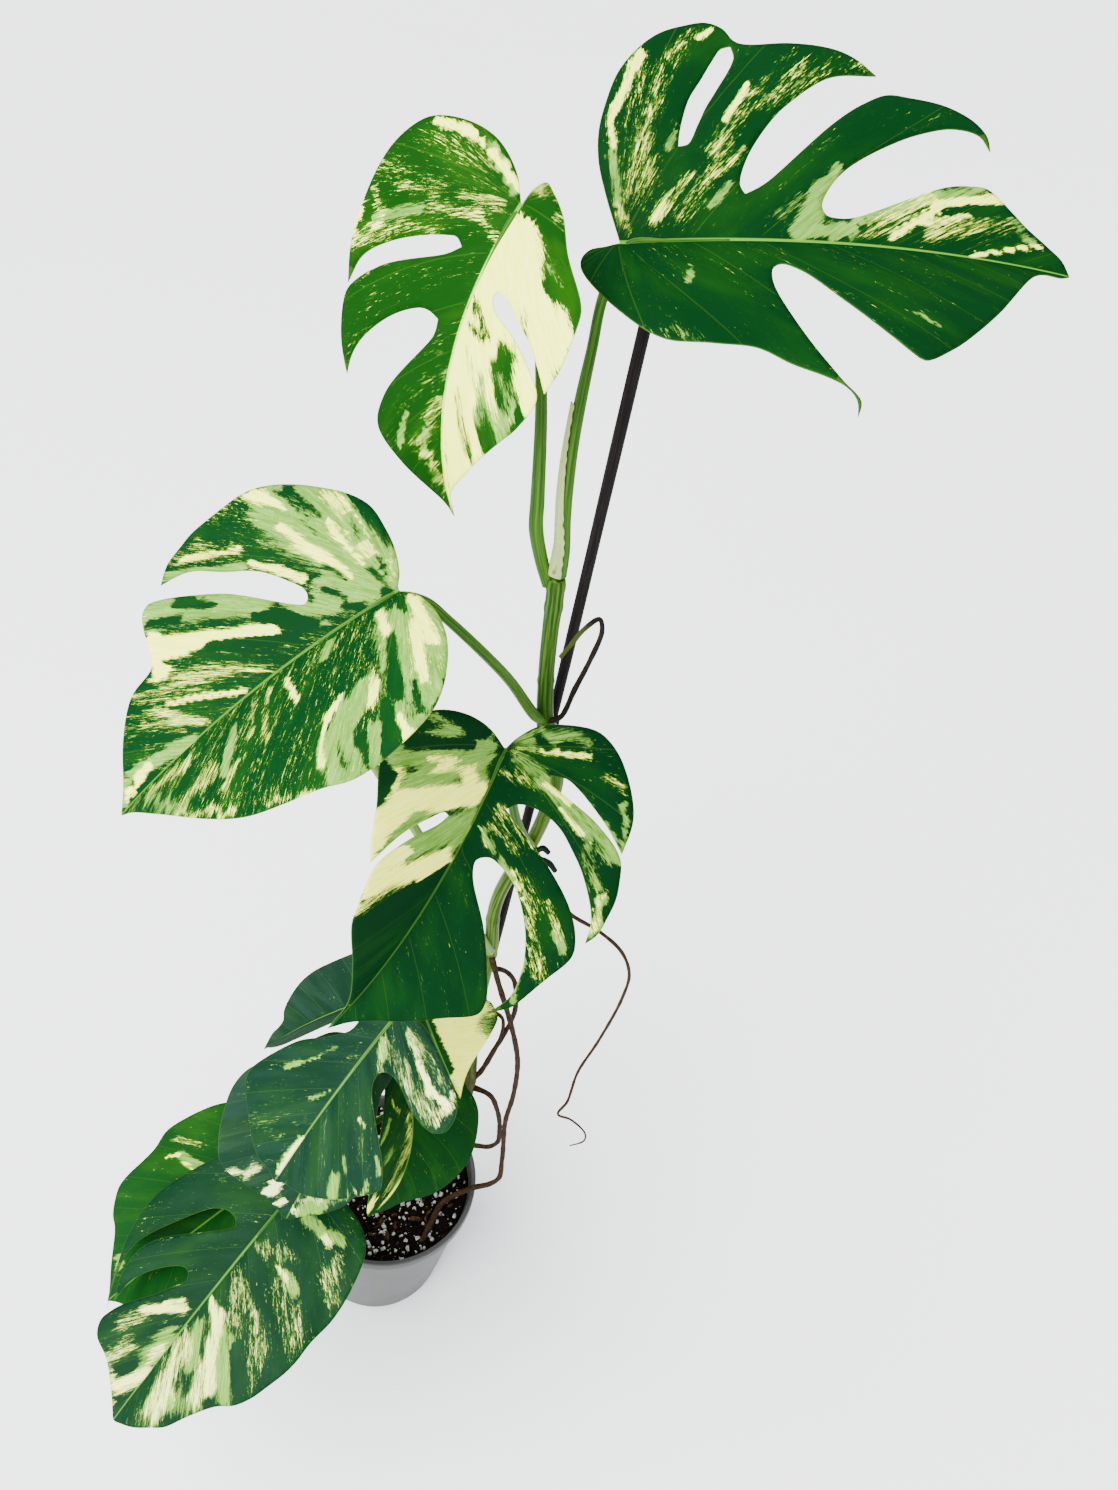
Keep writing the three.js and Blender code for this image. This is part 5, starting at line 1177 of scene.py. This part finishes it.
def plain_look(name, low, high, roughness, scale, depth):
    look = Look(name, Specular_IOR_Level=0.02, Roughness=roughness)
    place = look.place()
    grain = look.noise(place, scale, 5, 0.6)
    colour = look.mix(look.step(grain, 0.35, 0.65), low, high)
    look.bump(grain, depth, 0.7)
    look.set(Base_Color=colour)
    return look.material


def pot_look():
    look = Look("moulded_pot", Specular_IOR_Level=0.25)
    place = look.place()
    cloud = look.noise(place, 30, 4, 0.6)
    dust = look.noise(place, 420, 4, 0.7)
    colour = look.mix(cloud, (0.034, 0.034, 0.034), (0.044, 0.044, 0.043))
    soiled = look.step(dust, 0.63, 0.72) * 0.35
    colour = look.mix(soiled, colour, (0.12, 0.09, 0.06))
    look.bump(look.noise(place, 900, 2, 0.5), 0.0002, 0.35)
    look.set(Base_Color=colour, Roughness=0.36 + cloud * 0.12)
    return look.material


def floor_look():
    look = Look("pale_sheet", Roughness=0.85)
    cloud = look.noise(look.place(), 1.2, 3, 0.5)
    look.set(Base_Color=look.mix(cloud, (0.86, 0.87, 0.88), (0.89, 0.9, 0.91)))
    return look.material


# Pieces
def settle(piece, node=None):
    """Ride a piece on the body and hide the node that it replaces, if any."""
    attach(piece, "root")
    if node:
        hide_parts(node)


def deselect():
    if bpy.context.mode != "OBJECT":
        bpy.ops.object.mode_set(mode="OBJECT")
    bpy.ops.object.select_all(action="DESELECT")


def turned(name, profile, sides, look):
    """A closed body turned round the Z axis, drawn up ring by ring from its foot."""
    deselect()
    radius, height = profile[0]
    bpy.ops.mesh.primitive_circle_add(
        vertices=sides, radius=radius * MM, fill_type="NGON", location=(0, 0, height * MM))
    piece = bpy.context.object
    piece.name = piece.data.name = name
    bpy.ops.object.transform_apply(location=True, rotation=True, scale=True)
    bpy.ops.object.mode_set(mode="EDIT")
    bpy.ops.mesh.select_all(action="SELECT")
    for next_radius, next_height in profile[1:]:
        bpy.ops.mesh.extrude_region_move(
            TRANSFORM_OT_translate={"value": (0, 0, (next_height - height) * MM)})
        share = next_radius / radius
        bpy.ops.transform.resize(value=(share, share, 1), center_override=(0, 0, next_height * MM))
        radius, height = next_radius, next_height
    bpy.ops.mesh.select_all(action="SELECT")
    bpy.ops.mesh.normals_make_consistent(inside=False)
    bpy.ops.object.mode_set(mode="OBJECT")
    bpy.ops.object.shade_smooth_by_angle(angle=math.radians(35))
    piece.data.materials.append(look)
    return piece


def inner_wall_at(z):
    share = z / (POT_HEIGHT - RIM_BAND)
    return POT_BASE_RADIUS + (POT_WALL_TOP_RADIUS - POT_BASE_RADIUS) * share - POT_WALL


def build_pot():
    foot = POT_HEIGHT - RIM_BAND
    rim = POT_RIM_RADIUS
    profile = [
        (20, 0), (POT_BASE_RADIUS - 2, 0), (POT_BASE_RADIUS - 0.6, 0.5), (POT_BASE_RADIUS, 2),
        (POT_WALL_TOP_RADIUS, foot), (rim - 0.6, foot), (rim, foot + 0.8), (rim, POT_HEIGHT - 1.4),
        (rim - 0.5, POT_HEIGHT - 0.4), (rim - 1.2, POT_HEIGHT), (rim - RIM_LIP + 1, POT_HEIGHT),
        (rim - RIM_LIP + 0.3, POT_HEIGHT - 0.4), (rim - RIM_LIP, POT_HEIGHT - 1.2),
        (inner_wall_at(foot - 2), foot - 2), (inner_wall_at(POT_FLOOR + 1), POT_FLOOR + 1),
        (inner_wall_at(POT_FLOOR) - 1, POT_FLOOR), (20, POT_FLOOR),
    ]
    pot = turned("pot_body", profile, POT_SIDES, pot_look())
    circle = DRAIN_HOLE_CIRCLE * MM
    for n in range(DRAIN_HOLES):
        angle = math.pi / 4 + n * math.pi / 2
        deselect()
        bpy.ops.mesh.primitive_cylinder_add(
            vertices=32, radius=DRAIN_HOLE_RADIUS * MM, depth=0.03,
            location=(circle * math.cos(angle), circle * math.sin(angle), 0))
        drill = bpy.context.object
        cut = pot.modifiers.new("drain_hole", "BOOLEAN")
        cut.object = drill
        bpy.context.view_layer.objects.active = pot
        bpy.ops.object.modifier_apply(modifier=cut.name)
        bpy.data.objects.remove(drill)
    settle(pot, "pot")


def soil_height(x, y):
    return SOIL_LEVEL + 1.2 * np.sin(x / 7) * np.cos(y / 9) + 0.8 * np.sin(y / 5)


def build_soil():
    rows = []
    sides = SOIL_SIDES
    floor = POT_FLOOR + 0.3
    reach = inner_wall_at(SOIL_LEVEL) - SOIL_CLEARANCE
    rings = [(inner_wall_at(floor) - SOIL_CLEARANCE, floor), (reach, SOIL_LEVEL - 1)]
    rings += [(reach - SOIL_RING_STEP * n, None) for n in range(SOIL_RINGS)]
    angles = 2 * math.pi * np.arange(sides) / sides
    for radius, height in rings:
        x, y = radius * np.cos(angles), radius * np.sin(angles)
        fade = min(1, max(0, (78 - radius) / 12))
        lumps = 1.2 * np.sin(x * 0.9 + 2 * np.sin(y * 0.5))
        lumps = lumps * np.sin(y * 0.8 + 1.5 * np.sin(x * 0.6))
        top = SOIL_LEVEL + fade * (soil_height(x, y) - SOIL_LEVEL) + lumps
        rows.append(np.column_stack([x, y, np.full(sides, height) if height else top]))
    last = (len(rings) - 1) * sides
    faces = ring_faces(len(rings), sides)
    faces += [tuple(range(last, last + sides)), tuple(range(sides - 1, -1, -1))]
    dark, light = (0.002, 0.0016, 0.0014), (0.009, 0.006, 0.005)
    look = plain_look("potting_mix", dark, light, 0.95, 380, 0.002)
    settle(make_mesh("soil_mix", np.vstack(rows), faces, [look]), "soil")


def scatter(name, look, count, sizes, shape, seed, sink):
    """Many copies of one uneven grain, lying on the soil at seeded places."""
    deselect()
    bpy.ops.mesh.primitive_ico_sphere_add(subdivisions=1, radius=1)
    grain = bpy.context.object
    source = np.array([v.co for v in grain.data.vertices])
    facets = [tuple(p.vertices) for p in grain.data.polygons]
    bpy.data.objects.remove(grain)
    rng = np.random.default_rng(seed)
    points, faces = [], []
    for n in range(count):
        reach = (inner_wall_at(SOIL_LEVEL) - 3) * math.sqrt(rng.random())
        turn = 2 * math.pi * rng.random()
        x, y = reach * math.cos(turn), reach * math.sin(turn)
        size = sizes[0] + (sizes[1] - sizes[0]) * rng.random() ** 2.5
        body = source * (0.6 + 0.8 * rng.random((len(source), 1))) * np.array(shape)
        lean = 0.35 * rng.normal() if shape[2] < 1 else 6 * rng.random()
        tilt = Matrix.Rotation(6.3 * rng.random(), 3, "Z") @ Matrix.Rotation(lean, 3, "X")
        body = body @ np.array(tilt).T
        points.append(body * size + (x, y, soil_height(x, y) + size * sink))
        faces += [tuple(i + n * len(source) for i in facet) for facet in facets]
    settle(make_mesh(name, np.vstack(points), faces, [look]))


def stem_shape(reach, length, angles, radius):
    """Slightly ribbed, with a raised ring at each old leaf."""
    rings = sum(math.exp(-(((reach - spot) / STEM_RING_WIDTH) ** 2)) for spot in STEM_RINGS)
    return radius * (1 + 0.03 * np.cos(5 * angles + 0.01 * reach) + 0.12 * rings)


def root_shape(reach, length, angles, radius):
    lumps = math.sin(reach * 0.31) * math.sin(reach * 0.113 + 1)
    return radius * (1 + 0.09 * lumps + 0.06 * np.cos(3 * angles + 0.05 * reach))


def stake_shape(reach, length, angles, radius):
    return radius * (1 + 0.02 * np.cos(9 * angles) + 0.015 * math.sin(reach * 0.05))


def tube_piece(name, parts, look, node):
    points, faces, strand = joined(parts)
    settle(make_mesh(name, points, faces, [look], {"strand": strand}), node)


def build_slender_pieces():
    stem = [tube(STEM_PATH, 3, 28, stem_shape)]
    tube_piece("stem_with_leaf_scars", stem, stem_look(), "stem")
    stake = [tube(STAKE_PATH, 6, 24, stake_shape, (0.3, 0.3))]
    tube_piece("stake_cane", stake, stake_look(), "stake")
    cut = stalk_look("cut_petiole", (0.16, 0.26, 0.07), (0.08, 0.16, 0.03))
    stub = [tube(STUB_PATH, 3, 20, petiole_shape)]
    tube_piece("petiole_stub_cut", stub, cut, "petiole_stub")
    brown = root_look("aerial_root", (0.01, 0.006, 0.004), (0.05, 0.026, 0.012))
    dark, light = (0.004, 0.0035, 0.003), (0.014, 0.01, 0.007)
    black = root_look("young_aerial_root", dark, light, YOUNG_ROOT_END)
    for name, path in ROOT_PATHS.items():
        parts = [tube(path, 1.6, 14, root_shape)]
        if name == "root_b":
            parts.append(tube(ROOT_B_SPUR, 1.6, 12, root_shape))
        look = black if name == "root_f" else brown
        tube_piece(name + "_aerial", parts, look, name)


def band_points(stem_spot, stake_spot, level):
    """A strap with rounded edges, wound round stem and stake."""
    heading = math.atan2(stake_spot[1] - stem_spot[1], stake_spot[0] - stem_spot[0])
    half = math.pi / 2
    turns = (
        (stake_spot, TIE_STAKE_REACH, heading - half), (stem_spot, TIE_STEM_REACH, heading + half))
    rings = []
    for spot, reach, start in turns:
        for n in range(TIE_STEPS + 1):
            angle = start + math.pi * n / TIE_STEPS
            way = np.array([math.cos(angle), math.sin(angle)])
            rings.append([(*(spot + way * (reach + out)), level + up) for out, up in TIE_PROFILE])
    points = np.array(rings).reshape(-1, 3)
    quads = ring_faces(len(rings), len(TIE_PROFILE), closed=True)
    strand = np.column_stack([points[:, 2], np.zeros(len(points)), np.zeros(len(points))])
    return points, [(a, d, c, b) for a, b, c, d in quads], strand


def build_ties():
    dark, light = (0.003, 0.006, 0.0045), (0.009, 0.017, 0.012)
    look = plain_look("garden_wire", dark, light, 0.45, 600, 0.0003)
    tube_piece("tie_upper_strap", [band_points((63, 8), (64, 19.5), 729)], look, "tie_upper")
    parts = [band_points((64.5, 8), (60.5, 19.1), 615)]
    parts += [tube(tail, 0.8, 12, None, (0.4, 0.4)) for tail in TIE_TAILS]
    tube_piece("tie_lower_strap", parts, look, "tie_lower")


def sheath_look():
    look = Look("dry_sheath", Specular_IOR_Level=0.1, Roughness=0.75)
    strand = look.attribute("strand").value("Vector")
    fibre = look.noise(look.scaled(strand, (6, 6, 0.03)), 1, 4, 0.65)
    blotch = look.noise(look.scaled(strand, (1.5, 1.5, 0.08)), 1, 4, 0.6)
    colour = look.mix(fibre, (0.16, 0.24, 0.06), (0.42, 0.5, 0.2))
    colour = look.mix(look.step(blotch, 0.62, 0.68) * 0.7, colour, (0.1, 0.05, 0.02))
    look.bump(fibre, 0.0008, 0.7)
    look.set(Base_Color=colour)
    return look.material


def build_sheath():
    """A dry leaf base wrapped part of the way round the top petiole, with a frayed edge."""
    centres, radii, along, _, outs, acrosses = path_frames(SHEATH_PATH, 2, SHEATH_SIDE)
    rings = []
    for centre, radius, reach, side, across in zip(centres, radii, along, outs, acrosses):
        share = reach / along[-1]
        half = 1.5 - 1.1 * share + 0.05 * math.sin(reach * 0.9) + 0.04 * math.sin(reach * 2.3)
        ring = []
        for layer, flip in SHEATH_LAYERS:
            for n in range(SHEATH_STEPS + 1):
                t = flip * (2 * n / SHEATH_STEPS - 1)
                fray = 0.12 * math.sin(t * 9 + reach * 0.2)
                edge = layer - 0.3 * (layer > 1) * abs(t) ** 4 + fray
                angle = half * t
                out = (radius + edge) * (math.cos(angle) * side + math.sin(angle) * across)
                ring.append(centre + out)
        rings.append(ring)
    size, count = len(rings[0]), len(rings)
    points = np.array(rings).reshape(-1, 3)
    last = (count - 1) * size
    faces = ring_faces(count, size)
    faces += [tuple(range(size - 1, -1, -1)), tuple(range(last, last + size))]
    turns = np.tile(np.linspace(0, 3, size), count)
    strand = np.column_stack([turns, np.zeros(len(points)), np.repeat(along, size)])
    piece = make_mesh("sheath_dry", points, faces, [sheath_look()], {"strand": strand})
    settle(piece, "sheath")


def build_floor():
    deselect()
    bpy.ops.mesh.primitive_plane_add(size=40, location=(0, 0, 0))
    floor = bpy.context.object
    floor.name = "pale_floor"
    bpy.ops.object.transform_apply(location=True, rotation=True, scale=True)
    floor.data.materials.append(floor_look())


add_camera()
add_lights()
build_floor()
blade = blade_look()
petiole = stalk_look("petiole", (0.045, 0.12, 0.01), (0.01, 0.045, 0.004))
for number, leaf in enumerate(LEAVES):
    build_leaf(leaf, number, blade, petiole)
build_pot()
build_soil()
perlite = plain_look("perlite", (0.2, 0.2, 0.18), (0.5, 0.5, 0.46), 0.9, 500, 0.001)
bark = plain_look("bark_chips", (0.015, 0.007, 0.004), (0.06, 0.03, 0.014), 0.85, 260, 0.001)
crumb = plain_look("dark_crumbs", (0.002, 0.0016, 0.0013), (0.011, 0.007, 0.005), 0.95, 500, 0.001)
scatter("soil_crumbs", crumb, 2600, (0.7, 2.6), (1, 0.8, 0.7), 5, 0.3)
scatter("perlite_grains", perlite, 800, (0.5, 3), (1, 0.8, 0.8), 7, 0.35)
scatter("bark_chips", bark, 110, (2.2, 6.5), (1, 0.45, 0.26), 9, 0.2)
build_slender_pieces()
build_sheath()
build_ties()
